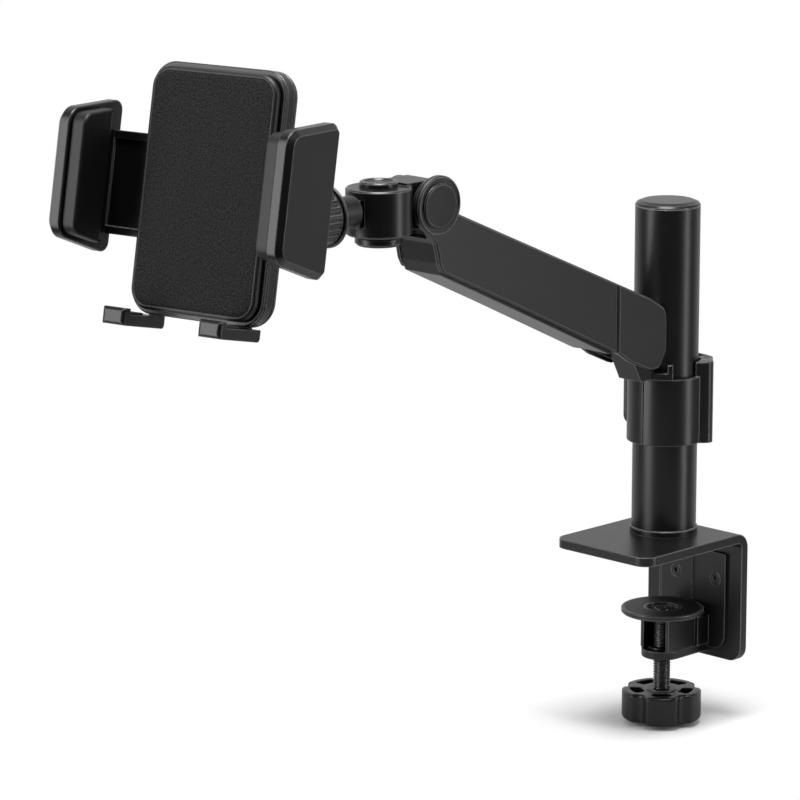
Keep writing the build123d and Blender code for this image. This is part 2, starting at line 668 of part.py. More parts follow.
def rear_outline():
    """Side view of the rear cheek."""
    x = SEAM_X + SEAM_GAP / 2
    face = profile([(x, top_line(x)), (LIFT_X, top_line(LIFT_X))] + REAR + [(x, REAR[-1][1] + 1)])
    for place, radius in zip(REAR, REAR_R):
        face = fillet(face.vertices().sort_by_distance(Vector(*place))[0], radius)
    return face


def frame_outline(boss):
    """Side view of the hollow beam, a little inside the covers and lower at the belly."""
    top = FRAME_INSET
    chin = [(x + 0.8, z - FRAME_DROP * (i == 0)) for i, (x, z) in enumerate(CHIN)]
    belly = [(x, z - FRAME_DROP) for x, z in BELLY]
    rear = [(LIFT_X + 7, LIFT_Z + 11.4), (LIFT_X + 14.5, LIFT_Z + 5.5), (LIFT_X + 17, LIFT_Z), (LIFT_X + 17, LIFT_Z - 4),
            (LIFT_X + 16, LIFT_Z - 14), (LIFT_X + 9, LIFT_Z - 22.5), (LIFT_X + 5, LIFT_Z - 23.5),
            (LIFT_X - 10.5, LIFT_Z - 16.6), (LIFT_X - 17, LIFT_Z - 13)]
    front = PITCH_X + boss / 2
    points = [(PITCH_X, PITCH_Z), (front, top_line(front) - top), (LIFT_X, top_line(LIFT_X) - top)] + rear
    face = profile(points + belly + chin + [(PITCH_X - 0.4 * boss, PITCH_Z - 0.8 * boss)])
    for place in (rear[5], rear[6], rear[7], rear[8]):
        face = fillet(face.vertices().sort_by_distance(Vector(*place))[0], 2.4)
    return face + Pos(PITCH_X, PITCH_Z) * Circle(boss - FRAME_INSET)


def arm_frame():
    half = FRAME_HALF
    body = side_plate(frame_outline(BOSS_R), -half, 0) + side_plate(frame_outline(BOSS_FAR_R), 0, half)
    roof = WALL + FRAME_INSET
    front = CHIN[0][0] + 5 * WALL
    back = SEAM_X - 3 * WALL
    inner = [(front, top_line(front) - roof), (back, top_line(back) - roof), (back, BELLY[0][1] + WALL),
             (BELLY[1][0], BELLY[1][1] + WALL), (front, CHIN[0][1])]
    body -= side_plate(profile(inner), WALL - half, half - WALL)
    room = [(SEAM_X - 2 * WALL, top_line(SEAM_X - 2 * WALL) - roof), (0, top_line(0) - roof), (0, COLLAR_Z0),
            (SEAM_X - 2 * WALL, COLLAR_Z0)]
    body -= side_plate(profile(room), -LIFT_FORK, LIFT_FORK)
    reach = 2 * BOSS_R
    sweep = bar(HEAD_TONGUE_R + 0.7, -PITCH_FORK, PITCH_FORK, PITCH_X, PITCH_Z)
    swing = bar(HEAD_SWEEP, -PITCH_FORK, PITCH_FORK, PITCH_X, PITCH_Z)
    sweep += swing & span(PITCH_X - reach, PITCH_X + 4, -half, half, PITCH_Z - reach, PITCH_Z)
    sweep += swing & span(PITCH_X - reach, PITCH_X + 9, -half, half, PITCH_Z, PITCH_Z + reach)
    body -= sweep
    body -= bar(AXLE_R, -half - 1, half + 1, LIFT_X, LIFT_Z) + bar(AXLE_R, -half - 1, half + 1, PITCH_X, PITCH_Z)
    for side in (-1, 1):
        for x, z, deep in ((LIFT_X, LIFT_Z, LIFT_HEAD), (PITCH_X, PITCH_Z, PITCH_HEAD)):
            body -= bar(AXLE_HEAD_R + FIT, side * deep, side * (half + 1), x, z)
    return body


def side_cover(side):
    """Long cover; side is -1 for the near one and 1 for the far one."""
    outer = ARM_W / 2
    y0, y1 = sorted((side * FRAME_HALF, side * outer))
    boss = BOSS_R if side < 0 else BOSS_FAR_R
    cap = CAP_R if side < 0 else CAP_FAR_R
    body = side_plate(side_outline(boss), y0, y1)
    face = body.faces().filter_by(Axis.Y).sort_by(Axis.Y)[0 if side < 0 else -1]
    body = chamfer(face.outer_wire().edges(), EDGE)
    ring = bar(boss - BOSS_RIM, side * (outer - RING_DEEP), side * (outer + 1), PITCH_X, PITCH_Z)
    return body - ring - bar(cap + FIT, y0 - 1, y1 + 1, PITCH_X, PITCH_Z)


def rear_cover(side):
    """Rear cheek with a pocket over the head of the lift axle."""
    y0, y1 = sorted((side * FRAME_HALF, side * ARM_W / 2))
    body = side_plate(rear_outline(), y0, y1)
    face = body.faces().filter_by(Axis.Y).sort_by(Axis.Y)[0 if side < 0 else -1]
    body = chamfer(face.outer_wire().edges(), EDGE)
    room = LIFT_HEAD + AXLE_HEAD_T + FIT
    return body - bar(AXLE_HEAD_R + CLEAR, side * (FRAME_HALF - 1), side * room, LIFT_X, LIFT_Z)


def axle(x, z, head, reach):
    """Shouldered axle along Y, its head on the near side."""
    body = bar(AXLE_R, -head, reach, x, z) + bar(AXLE_HEAD_R, -head - AXLE_HEAD_T, -head, x, z)
    key = Pos(x, -head - AXLE_HEAD_T, z) * Rot(90, 0, 0) * hex_key(5.0, -2.0, 2.0)
    return body - key


def axle_nut(x, z, head):
    body = Pos(x, head, z) * Rot(-90, 0, 0) * hex_key(11.0, 0, AXLE_HEAD_T)
    return body - bar(AXLE_R, head - 1, head + AXLE_HEAD_T + 1, x, z)


def washer_pair(x, z, inner, outer, radius):
    hole = bar(AXLE_R + FIT, -outer - 1, outer + 1, x, z)
    return Compound(children=[bar(radius, side * inner, side * outer, x, z) - hole for side in (-1, 1)])


def pivot_cap(side):
    outer = ARM_W / 2 + CAP_PROUD
    y0, y1 = sorted((side * FRAME_HALF, side * outer))
    body = bar(CAP_R if side < 0 else CAP_FAR_R, y0, y1, PITCH_X, PITCH_Z)
    face = body.faces().filter_by(Axis.Y).sort_by(Axis.Y)[0 if side < 0 else -1]
    body = chamfer(face.edges(), EDGE)
    room = PITCH_HEAD + AXLE_HEAD_T + CLEAR
    return body - bar(AXLE_HEAD_R + 1, side * (FRAME_HALF - 1), side * room, PITCH_X, PITCH_Z)


# Head

def head_block():
    half = HEAD_TONGUE_W / 2
    tongue = bar(HEAD_TONGUE_R, -half, half, PITCH_X, PITCH_Z)
    tongue += span(DRUM_X + 8, PITCH_X, -half, half, PITCH_Z - HEAD_HALF_H, PITCH_Z + HEAD_HALF_H)
    tongue += span(DRUM_X + SWIVEL_CAP_R + 1, PITCH_X, -half, half, PITCH_Z, PITCH_Z + HEAD_TONGUE_R)
    drum = post(DRUM_R, DRUM_Z0, DRUM_Z1, DRUM_X)
    drum = chamfer(drum.edges(), EDGE)
    body = tongue + drum
    body -= post(TAB_R + CLEAR, SLOT_Z0, SLOT_Z1, DRUM_X)
    ahead = 180
    mouth = sector(1, DRUM_R + EDGE, ahead - SWING - SLOT_SIDE, ahead + SLOT_SIDE, SLOT_Z0, SLOT_Z1)
    body -= Pos(DRUM_X, 0, 0) * mouth
    body -= post(SWIVEL_R, DRUM_Z0 - 1, DRUM_Z1 + 1, DRUM_X)
    body -= post(SWIVEL_HEAD_R + FIT, SWIVEL_SEAT, DRUM_Z1 + 1, DRUM_X)
    return body - bar(AXLE_R + FIT, -half - 1, half + 1, PITCH_X, PITCH_Z)


def swivel_bolt():
    low = DRUM_Z0 - NUT_STEP - NUT_H + 1
    body = post(SWIVEL_R, low, SWIVEL_SEAT, DRUM_X) + post(SWIVEL_HEAD_R, SWIVEL_SEAT, DRUM_Z1 + 1, DRUM_X)
    return body - Pos(DRUM_X, 0, 0) * hex_key(5.0, DRUM_Z1 - 1, DRUM_Z1 + 2)


def swivel_nut():
    top = DRUM_Z0 - NUT_STEP
    low = top - NUT_H
    body = turned([(SWIVEL_R, low), (NUT_R - 1.2, low), (NUT_R, low + 1.2), (NUT_R, top - 0.6), (NUT_R - 0.6, top),
                   (NUT_R - 2.4, top), (NUT_R - 2.4, DRUM_Z0), (SWIVEL_R, DRUM_Z0)])
    return Pos(DRUM_X, 0, 0) * body


def swivel_cap():
    top = DRUM_Z1 + SWIVEL_CAP_H
    rim = SWIVEL_CAP_R - 1.8
    body = turned([(0, DRUM_Z1 + 1.3), (SWIVEL_HEAD_R + CLEAR, DRUM_Z1 + 1.3), (SWIVEL_HEAD_R + CLEAR, DRUM_Z1),
                   (SWIVEL_CAP_R, DRUM_Z1), (SWIVEL_CAP_R, top - 0.7), (SWIVEL_CAP_R - 0.7, top), (rim, top),
                   (rim - 0.9, top - 0.9), (1.6, top - 0.9), (1.6, top - 0.3), (0, top - 0.3)])
    return Pos(DRUM_X, 0, 0) * body


def neck():
    z0 = SLOT_Z0 + SIDE
    z1 = SLOT_Z1 - SIDE
    tab = post(TAB_R, z0, z1, DRUM_X) + span(DRUM_X - DRUM_R - 4, DRUM_X, -STEM_HALF, STEM_HALF, z0, z1)
    tab -= post(SWIVEL_R + FIT, z0 - 1, z1 + 1, DRUM_X)
    start = BALL_X - (DRUM_X - DRUM_R - 1.2)
    seat_floor = -SEAT_R - 0.1
    stem = turned([(0, start), (NECK_R - 1.4, start), (NECK_R, start + 1.4), (NECK_R, -FLANGE_BACK - 1.5),
                   (NECK_R + 1.5, -FLANGE_BACK), (NECK_FLANGE_R - 0.4, -FLANGE_BACK), (NECK_FLANGE_R, -FLANGE_BACK + 0.4),
                   (NECK_FLANGE_R, -COLLAR_BACK - 0.4), (NECK_FLANGE_R - 0.4, -COLLAR_BACK), (CUP_R, -COLLAR_BACK),
                   (CUP_R, CUP_OPEN), (SEAT_R, CUP_OPEN), (SEAT_R, seat_floor), (0, seat_floor)])
    return tab + CUP.location * stem


def ball_seat():
    body = turned([(0, -SEAT_R - 0.1), (SEAT_R, -SEAT_R - 0.1), (SEAT_R, CUP_OPEN), (0, CUP_OPEN)])
    return CUP.location * (body - Sphere(BALL_R + FIT))


def lock_ring():
    inner = CUP_R + FIT
    step = CUP_OPEN + CLEAR
    body = turned([(inner, -COLLAR_BACK + CLEAR), (RING_OUT - 0.6, -COLLAR_BACK + CLEAR), (RING_OUT, -COLLAR_BACK + 0.9),
                   (RING_OUT, LIP_AT - 1.2), (RING_OUT - 1.2, LIP_AT), (LIP_R, LIP_AT), (BALL_R + CLEAR, step),
                   (inner, step)])
    flute = Pos(RING_OUT + 0.5, 0, (LIP_AT - COLLAR_BACK) / 2) * Cylinder(1.1, LIP_AT + COLLAR_BACK - 4)
    cuts = [Rot(0, 0, 360 * i / RIBS) * flute for i in range(RIBS)]
    return CUP.location * (body - cuts)


def ball_stalk():
    end = REACH + CASE_BACK - CONE_L
    stem = turned([(0, 0), (STALK_NECK_R, 0), (STALK_NECK_R, 14), (STALK_R, 19), (STALK_R, end - 1.6), (CONE_END_R, end - 1.6),
                   (CONE_END_R, end), (SPIGOT_R, end), (SPIGOT_R, end + 12), (0, end + 12)])
    return STALK.location * (Sphere(BALL_R) + stem)


# Phone cradle, drawn in its own frame and then placed

def foot_centres():
    return [FOOT_SHIFT - FOOT_SPACING / 2, FOOT_SHIFT + FOOT_SPACING / 2]


def leg_span(i):
    """The two sides of a leg, kept toward the middle of its foot."""
    x = foot_centres()[i]
    inner = FOOT_W / 2 - 0.2
    return (x + inner - LEG_W, x + inner) if i == 0 else (x - inner, x - inner + LEG_W)


def case_screw_places():
    return [(-30.0, 47.0), (30.0, 47.0), (-14.0, -50.0), (14.0, -50.0)]


def case_screw():
    cone = CASE_SCREW_HEAD_R - CASE_SCREW_R
    return Pos(0, 0, CASE_BACK) * sink(CASE_SCREW_R, CASE_SCREW_HEAD_R, cone, CASE_SCREW_L)


def rear_shell():
    body = slab(BODY_W, BODY_H, BODY_CORNER, CASE_BACK, HOUSING_BACK)
    body = fillet(body.faces().sort_by(Axis.Z)[0].edges(), SHELL_EDGE)
    body = chamfer(body.faces().sort_by(Axis.Z)[-1].edges(), SEAM)
    cone = turned([(0, CASE_BACK - CONE_L), (CONE_END_R, CASE_BACK - CONE_L), (CONE_END_R + 1.5, CASE_BACK - CONE_L + 2),
                   (CONE_R - 4, CASE_BACK - 4), (CONE_R, CASE_BACK), (0, CASE_BACK)])
    cone -= post(SPIGOT_R, CASE_BACK - CONE_L - 1, CASE_BACK - CONE_L + 12)
    body += Pos(0, -RISE, 0) * cone
    left = leg_span(0)[0] - SIDE
    right = leg_span(1)[1] + SIDE
    top = FOOT_TOP_H + LEG_UP + 2 * SIDE
    room = span(left, right, -BODY_H / 2 + SHELL_WALL, top, LEG_BACK - SIDE, HOUSING_BACK)
    for x, y in case_screw_places()[2:]:
        room -= post(CASE_SCREW_HEAD_R + 0.4, CASE_BACK, HOUSING_BACK, x, y)
    for i in range(2):
        x0, x1 = leg_span(i)
        room += span(x0 - SIDE, x1 + SIDE, -BODY_H, top - 10, LEG_BACK - SIDE, HOUSING_BACK)
    body -= room
    for x, y in case_screw_places():
        body -= Pos(x, y, 0) * case_screw()
    return CRADLE.location * body


def housing():
    body = slab(BODY_W, BODY_H, BODY_CORNER, HOUSING_BACK, BEZEL_BACK)
    body = chamfer(body.faces().sort_by(Axis.Z)[-1].edges() + body.faces().sort_by(Axis.Z)[0].edges(), SEAM)
    inside = BODY_W / 2 - SHELL_WALL
    half = RAIL_H / 2 + SIDE
    body -= span(-inside, inside, -half, half, RAIL_FLOOR, BEZEL_BACK + 1)
    body -= span(-BODY_W, BODY_W, -half, half, RAIL_FLOOR, RAIL_FRONT + SIDE)
    body -= post(GEAR_PIN_R, RAIL_FLOOR - PIN_SEAT, RAIL_FLOOR + 1)
    for x, y in case_screw_places():
        body -= Pos(x, y, 0) * case_screw()
    return CRADLE.location * body


def front_plate():
    body = slab(BODY_W, BODY_H, BODY_CORNER, BEZEL_BACK, -PAD_T)
    front = body.faces().sort_by(Axis.Z)[-1].edges()
    body = fillet(front, 0.7)
    body = chamfer(body.faces().sort_by(Axis.Z)[0].edges(), SEAM)
    return CRADLE.location * body


def face_pad():
    low = -PAD_T + PAD_FOOT
    body = slab(PAD_W - 2 * PAD_FOOT, PAD_H - 2 * PAD_FOOT, PAD_CORNER - PAD_FOOT, -PAD_T, low)
    top = slab(PAD_W, PAD_H, PAD_CORNER, low, 0)
    top = fillet(top.faces().sort_by(Axis.Z)[-1].edges(), 1.9)
    return CRADLE.location * (body + top)


def rack_teeth(x0, x1):
    """Teeth that hang from a rack, with a space centred on the gear when the jaws are at rest."""
    pitch = pi * MODULE
    root = PITCH_LINE + 1.25 * MODULE
    tip = PITCH_LINE - MODULE
    half = pitch / 4 - BACKLASH / 2
    lean = tan(radians(PRESSURE))
    faces = []
    for i in range(int(x0 / pitch) - 1, int(x1 / pitch) + 2):
        x = (i + 0.5) * pitch
        if x - half - lean > x0 and x + half + lean < x1:
            a = half + lean * (root - PITCH_LINE)
            b = half - lean * (PITCH_LINE - tip)
            faces.append(profile([(x - a, root + 0.2), (x + a, root + 0.2), (x + a, root), (x + b, tip), (x - b, tip),
                                  (x - a, root)]))
    return faces


def rail():
    """Left sliding plate in the front layer; the right one is the same plate turned half round."""
    outer = -JAW_JOIN - RAIL_HOLD
    inner = PITCH_LINE + MODULE + 3.4
    half = RAIL_H / 2
    narrow = half - RAIL_LEDGE - 2 * SIDE
    ledge_end = -JAW_TRAVEL - 2.0
    plate = span(outer, inner, -narrow, narrow, RAIL_MID, RAIL_FRONT)
    plate += span(outer, ledge_end, -half, half, RAIL_MID, RAIL_FRONT)
    room = PITCH_LINE + MODULE + 0.8
    window = Pos((inner - 2.4 - JAW_TRAVEL - room) / 2, 0) * Rectangle(inner - 2.4 + JAW_TRAVEL + room, 2 * room)
    low = PITCH_LINE + 1.25 * MODULE
    window -= Pos(0, (low + room) / 2) * Rectangle(4 * room + 2 * JAW_TRAVEL, room - low)
    for tooth in rack_teeth(-JAW_TRAVEL - room, inner - 2.4):
        window -= tooth
    plate -= extrude(Pos(0, 0, RAIL_MID - 1) * window, amount=RAIL_T + 2)
    panel = half - RAIL_LEDGE
    plate -= span(-JAW_JOIN, -BODY_W / 2 + 6, -panel, panel, RAIL_FRONT - RAIL_DISH, RAIL_FRONT + 1)
    return plate, outer, ledge_end


def rail_left():
    plate, outer, end = rail()
    half = RAIL_H / 2
    for y0, y1 in ((-half, -half + RAIL_LEDGE), (half - RAIL_LEDGE, half)):
        plate += span(outer, end, y0, y1, RAIL_BACK, RAIL_FRONT)
    return CRADLE.location * plate


def rail_right():
    plate, outer, end = rail()
    plate = Pos(0, 0, RAIL_BACK - RAIL_MID) * plate
    half = RAIL_H / 2
    for y0, y1 in ((-half, -half + RAIL_LEDGE), (half - RAIL_LEDGE, half)):
        plate += span(outer, end, y0, y1, RAIL_BACK, RAIL_FRONT)
    return CRADLE.location * (Rot(0, 0, 180) * plate)


def involute(radius, start, flank):
    """A point of an involute from the base circle, at a radius; flank is 1 or -1."""
    base = PITCH_LINE * cos(radians(PRESSURE))
    roll = sqrt(max(radius * radius / (base * base) - 1, 0))
    angle = start + flank * (roll - atan2(roll, 1))
    return (radius * cos(angle), radius * sin(angle))


def pinion():
    base = PITCH_LINE * cos(radians(PRESSURE))
    tip = PITCH_LINE + MODULE
    root = PITCH_LINE - 1.25 * MODULE
    lead = tan(radians(PRESSURE)) - radians(PRESSURE)
    half = (pi / 2 - BACKLASH / MODULE) / TEETH + lead
    steps = [base + (tip - base) * i / 5 for i in range(6)]
    face = Circle(root)
    for k in range(TEETH):
        middle = pi / 2 + 2 * pi * k / TEETH
        one = [involute(r, middle - half, 1) for r in steps]
        two = [involute(r, middle + half, -1) for r in reversed(steps)]
        feet = [(0.8 * root * cos(middle + s * half), 0.8 * root * sin(middle + s * half)) for s in (1, -1)]
        face += profile(one + two + feet)
    body = extrude(Pos(0, 0, RAIL_BACK) * face, amount=RAIL_FRONT - RAIL_BACK)
    body += post(GEAR_PIN_R + 2, RAIL_FLOOR + FIT, BEZEL_BACK - FIT)
    return CRADLE.location * (body - post(GEAR_PIN_R + FIT, RAIL_FLOOR - 1, BEZEL_BACK + 1))


def pinion_pin():
    return CRADLE.location * post(GEAR_PIN_R, RAIL_FLOOR - PIN_SEAT, BEZEL_BACK)


def jaw_face(inset=0.0, back=0.0):
    """Side view of a jaw in height and depth, drawn smaller by an inset and cut off behind a plane."""
    h0 = JAW_UP - JAW_H / 2
    h1 = JAW_UP + JAW_H / 2
    f0 = JAW_UP - JAW_FRONT_H / 2
    f1 = JAW_UP + JAW_FRONT_H / 2
    face = profile([(h0, JAW_BACK), (h1, JAW_BACK), (f1, JAW_FRONT), (f0, JAW_FRONT)])
    corners = face.vertices().sort_by(Axis.Y)
    face = fillet(corners[2:], JAW_CORNER)
    face = fillet(face.vertices().group_by(Axis.Y)[0], JAW_REAR_CORNER)
    if inset:
        face = offset(face, -inset)
    if back:
        face &= Pos(JAW_UP, back + JAW_FRONT) * Rectangle(2 * JAW_H, 2 * JAW_FRONT)
    return face


def jaw_slab(x0, x1, face):
    return extrude(Plane.YZ.offset(x0) * face, amount=x1 - x0)


def jaw_shell_left():
    """Left shell with the low neck that its pad stands on; the groove shows between them."""
    inner = -JAW_JOIN - JAW_GROOVE
    body = jaw_slab(inner - JAW_SHELL_T, inner, jaw_face())
    body = chamfer(body.faces().sort_by(Axis.X)[0].edges(), JAW_CHAMFER)
    body = fillet(body.faces().sort_by(Axis.X)[-1].edges(), EDGE)
    neck_inset = JAW_INSET + JAW_PAD_EDGE
    body += jaw_slab(inner, -JAW_JOIN, jaw_face(neck_inset, JAW_PAD_BACK + JAW_PAD_EDGE))
    half = RAIL_H / 2
    return body - span(-JAW_JOIN - RAIL_HOLD, -JAW_JOIN + 1, -half, half, RAIL_BACK, RAIL_FRONT)


def jaw_pad_left():
    body = jaw_slab(-JAW_JOIN, -GRIP / 2, jaw_face(JAW_INSET, JAW_PAD_BACK))
    return fillet(body.faces().sort_by(Axis.X)[-1].edges(), JAW_PAD_EDGE)


def jaw_left_shell():
    return CRADLE.location * jaw_shell_left()


def jaw_right_shell():
    return CRADLE.location * mirror(jaw_shell_left(), about=Plane.YZ)


def jaw_left_pad():
    return CRADLE.location * jaw_pad_left()


def jaw_right_pad():
    return CRADLE.location * mirror(jaw_pad_left(), about=Plane.YZ)


def foot_bracket():
    top = FOOT_TOP_H + LEG_UP
    body = span(leg_span(0)[0], leg_span(1)[1], top - BRIDGE_H, top, LEG_BACK, LEG_FRONT)
    for i, x in enumerate(foot_centres()):
        x0, x1 = leg_span(i)
        body += span(x0, x1, FOOT_TOP_H - FOOT_H + 1.5, top, LEG_BACK, LEG_FRONT)
        low = FOOT_TOP_H - FOOT_H
        lip = FOOT_TOP_H + LIP_H
        side = profile([(low, LEG_BACK), (FOOT_TOP_H, LEG_BACK), (FOOT_TOP_H, FOOT_FRONT - LIP_T),
                        (lip, FOOT_FRONT - LIP_T), (lip, FOOT_FRONT), (low + FOOT_RISE, FOOT_FRONT)])
        foot = jaw_slab(x - FOOT_W / 2, x + FOOT_W / 2, side)
        foot = fillet(foot.faces().sort_by(Axis.Z)[-1].edges(), FOOT_EDGE)
        body += fillet(foot.edges().filter_by(Axis.X).group_by(Axis.Z)[0].sort_by(Axis.Y)[0], FOOT_EDGE)
    return CRADLE.location * body


def foot_pads():
    pads = [span(x - FOOT_W / 2 + 1.5, x + FOOT_W / 2 - 1.5, FOOT_TOP_H, FOOT_TOP_H + 1.2, 0.6, FOOT_FRONT - LIP_T)
            for x in foot_centres()]
    return Compound(children=[CRADLE.location * p for p in pads])


def holder_screws():
    one = case_screw() - hex_key(2.0, CASE_BACK - 1, CASE_BACK + 1)
    return Compound(children=[CRADLE.location * (Pos(x, y, 0) * one) for x, y in case_screw_places()])


PARTS = {
    "clamp_bracket": clamp_bracket,
    "screw_bracket": screw_bracket,
    "bracket_screws": bracket_screws,
    "thread_bush": thread_bush,
    "clamp_screw": clamp_screw,
    "pad_disc": pad_disc,
    "pad_rubber": pad_rubber,
    "tip_screw": tip_screw,
    "clamp_knob": clamp_knob,
    "knob_base": knob_base,
    "pole": pole,
    "pole_base_ring": pole_base_ring,
    "pole_cap": pole_cap,
    "pole_plug": pole_plug,
    "pole_bolt": pole_bolt,
    "collar_liner": collar_liner,
    "collar_body": collar_body,
    "clamp_jaw": clamp_jaw,
    "tie_bolt": tie_bolt,
    "cam_washer": cam_washer,
    "lever_pin": lever_pin,
    "lever": lever,
    "arm_frame": arm_frame,
    "side_cover_near": lambda: side_cover(-1),
    "side_cover_far": lambda: side_cover(1),
    "rear_cover_near": lambda: rear_cover(-1),
    "rear_cover_far": lambda: rear_cover(1),
    "lift_axle": lambda: axle(LIFT_X, LIFT_Z, LIFT_HEAD, LIFT_HEAD + AXLE_HEAD_T),
    "lift_nut": lambda: axle_nut(LIFT_X, LIFT_Z, LIFT_HEAD),
    "lift_washers": lambda: washer_pair(LIFT_X, LIFT_Z, TONGUE_W / 2 + FIT, LIFT_FORK, TONGUE_R),
    "pitch_axle": lambda: axle(PITCH_X, PITCH_Z, PITCH_HEAD, PITCH_HEAD + AXLE_HEAD_T),
    "pitch_nut": lambda: axle_nut(PITCH_X, PITCH_Z, PITCH_HEAD),
    "pitch_washers": lambda: washer_pair(PITCH_X, PITCH_Z, HEAD_TONGUE_W / 2 + FIT, PITCH_FORK, HEAD_TONGUE_R - 1),
    "pivot_cap_near": lambda: pivot_cap(-1),
    "pivot_cap_far": lambda: pivot_cap(1),
    "head_block": head_block,
    "swivel_bolt": swivel_bolt,
    "swivel_nut": swivel_nut,
    "swivel_cap": swivel_cap,
    "neck": neck,
    "ball_seat": ball_seat,
    "lock_ring": lock_ring,
    "ball_stalk": ball_stalk,
    "rear_shell": rear_shell,
    "housing": housing,
    "front_plate": front_plate,
    "face_pad": face_pad,
    "pinion": pinion,
    "pinion_pin": pinion_pin,
    "rail_left": rail_left,
    "rail_right": rail_right,
    "jaw_left_shell": jaw_left_shell,
    "jaw_right_shell": jaw_right_shell,
    "jaw_left_pad": jaw_left_pad,
    "jaw_right_pad": jaw_right_pad,
    "foot_bracket": foot_bracket,
    "foot_pads": foot_pads,
    "holder_screws": holder_screws,
}

for name, make in PARTS.items():
    shape = make()
    box = shape.bounding_box()
    print(f"{name:16s} solids {len(shape.solids())} valid {shape.is_valid} volume {shape.volume:10.1f} "
          f"x {box.min.X:7.1f} {box.max.X:7.1f} y {box.min.Y:6.1f} {box.max.Y:6.1f} z {box.min.Z:6.1f} {box.max.Z:6.1f}")
    export_step(shape, f"parts/{name}.step")
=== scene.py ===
import json
import math

import bpy
import numpy as np
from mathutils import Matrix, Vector


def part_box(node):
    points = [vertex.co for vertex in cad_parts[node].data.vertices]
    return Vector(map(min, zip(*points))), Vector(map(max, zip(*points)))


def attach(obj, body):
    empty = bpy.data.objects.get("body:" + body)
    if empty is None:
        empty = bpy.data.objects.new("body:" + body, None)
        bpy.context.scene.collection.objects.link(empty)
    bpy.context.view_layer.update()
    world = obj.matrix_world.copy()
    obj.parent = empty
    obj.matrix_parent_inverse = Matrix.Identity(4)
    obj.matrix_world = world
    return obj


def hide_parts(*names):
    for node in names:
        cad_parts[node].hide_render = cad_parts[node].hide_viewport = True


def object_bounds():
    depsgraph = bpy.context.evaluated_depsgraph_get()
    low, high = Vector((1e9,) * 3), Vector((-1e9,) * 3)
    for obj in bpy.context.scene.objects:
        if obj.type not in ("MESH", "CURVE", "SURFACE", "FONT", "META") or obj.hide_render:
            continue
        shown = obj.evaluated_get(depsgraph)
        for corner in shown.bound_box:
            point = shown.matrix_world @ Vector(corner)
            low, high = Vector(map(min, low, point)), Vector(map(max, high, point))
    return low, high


bl_info = {
    "name": "Phone holder arm looks",
    "version": (1, 0, 0),
    "blender": (4, 5, 0),
    "location": "3D View > Sidebar > Phone holder",
    "description": "Soft pads, screw thread, finishes and studio for the phone holder arm",
    "category": "Object",
}

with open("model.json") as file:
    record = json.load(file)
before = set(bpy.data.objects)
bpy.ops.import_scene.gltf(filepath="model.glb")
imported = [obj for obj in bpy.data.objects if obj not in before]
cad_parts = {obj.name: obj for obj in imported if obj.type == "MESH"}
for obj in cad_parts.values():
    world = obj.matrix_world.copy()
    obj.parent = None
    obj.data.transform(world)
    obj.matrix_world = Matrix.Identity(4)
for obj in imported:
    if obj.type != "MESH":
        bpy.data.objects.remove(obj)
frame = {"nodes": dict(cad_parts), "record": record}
CAD_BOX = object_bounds()
SLOT_OF = {row["node"]: row["material_slot"] for row in frame["record"]["subparts"]}
BODY_OF = {node: body for body, nodes in frame["record"]["behaviour"]["bodies"].items() for node in nodes}

# Soft boxes: name, azimuth and elevation in degrees, distance, size, and the setting with the power
LIGHTS = (
    ("Key", -110.0, 8.0, 1.5, (0.75, 2.2), "key_power"),
    ("Side", 30.0, 10.0, 1.6, (0.30, 2.2), "side_power"),
    ("Above", -45.0, 80.0, 1.5, (0.8, 0.6), "top_power"),
)
LIGHT_TARGET = (-0.17, 0.0, 0.1)

# Round floor: middle, rings of its mesh, middle of the shadow and where the shadow starts and ends its fade
FLOOR_CENTRE = (-0.1, 0.0)
FLOOR_RINGS = (0.15, 0.3, 0.45)
FLOOR_SIDES = 96
SHADOW_CENTRE = (0.0, 0.02, -0.1)
SHADOW_FADE = (0.035, 0.105)
BACKDROP_RISE = (0.0, 0.7)      # cosine to the view's direction where the backdrop starts and is full

# Finish of each material slot: name, colour setting, roughness and its spread, grain scale, bump height,
# share of cells in the grain, painted highlight added to the colour along edges, metallic and specular
FINISHES = {
    "powder_black": ("Powder coat", "paint", 0.33, 0.05, 3400.0, 0.000022, 0.7, 0.26, 0.0, 0.5),
    "cast_black": ("Painted casting", "paint", 0.33, 0.05, 1900.0, 0.000018, 0.5, 0.2, 0.0, 0.5),
    "arm_cover": ("Grained cover", "plastic", 0.40, 0.05, 4200.0, 0.00003, 0.8, 0.22, 0.0, 0.5),
    "black_steel": ("Blackened steel", "black_steel", 0.30, 0.08, 1500.0, 0.000008, 0.2, 0.12, 0.85, 0.5),
    "steel": ("Plain steel", "steel", 0.28, 0.08, 1500.0, 0.000006, 0.2, 0.1, 1.0, 0.5),
    "brass_insert": ("Blackened brass", "brass", 0.32, 0.06, 1500.0, 0.000006, 0.2, 0.1, 1.0, 0.5),
    "moulded_black": ("Moulded plastic", "plastic", 0.30, 0.05, 2600.0, 0.00002, 0.5, 0.18, 0.0, 0.5),
    "cradle_black": ("Satin cradle plastic", "plastic", 0.30, 0.05, 3000.0, 0.000016, 0.5, 0.16, 0.0, 0.5),
    "nylon": ("Dark nylon", "nylon", 0.5, 0.05, 1400.0, 0.000012, 0.3, 0.03, 0.0, 0.5),
    "rubber_black": ("Soft rubber", "rubber", 0.46, 0.05, 2200.0, 0.00002, 0.5, 0.02, 0.0, 0.4),
}
CUSHION_BORDER = ("Cushion border", "rubber", 0.46, 0.05, 2200.0, 0.000015, 0.4, 0.02, 0.0, 0.5)
PATCHES = (0.82, 1.22)          # darkest and palest share of the colour
# Painted highlight along edges: gain of the edge mask and share of it that lightens the colour
EDGE_GAIN, EDGE_HIGHLIGHT_SHARE = 14.0, 0.9

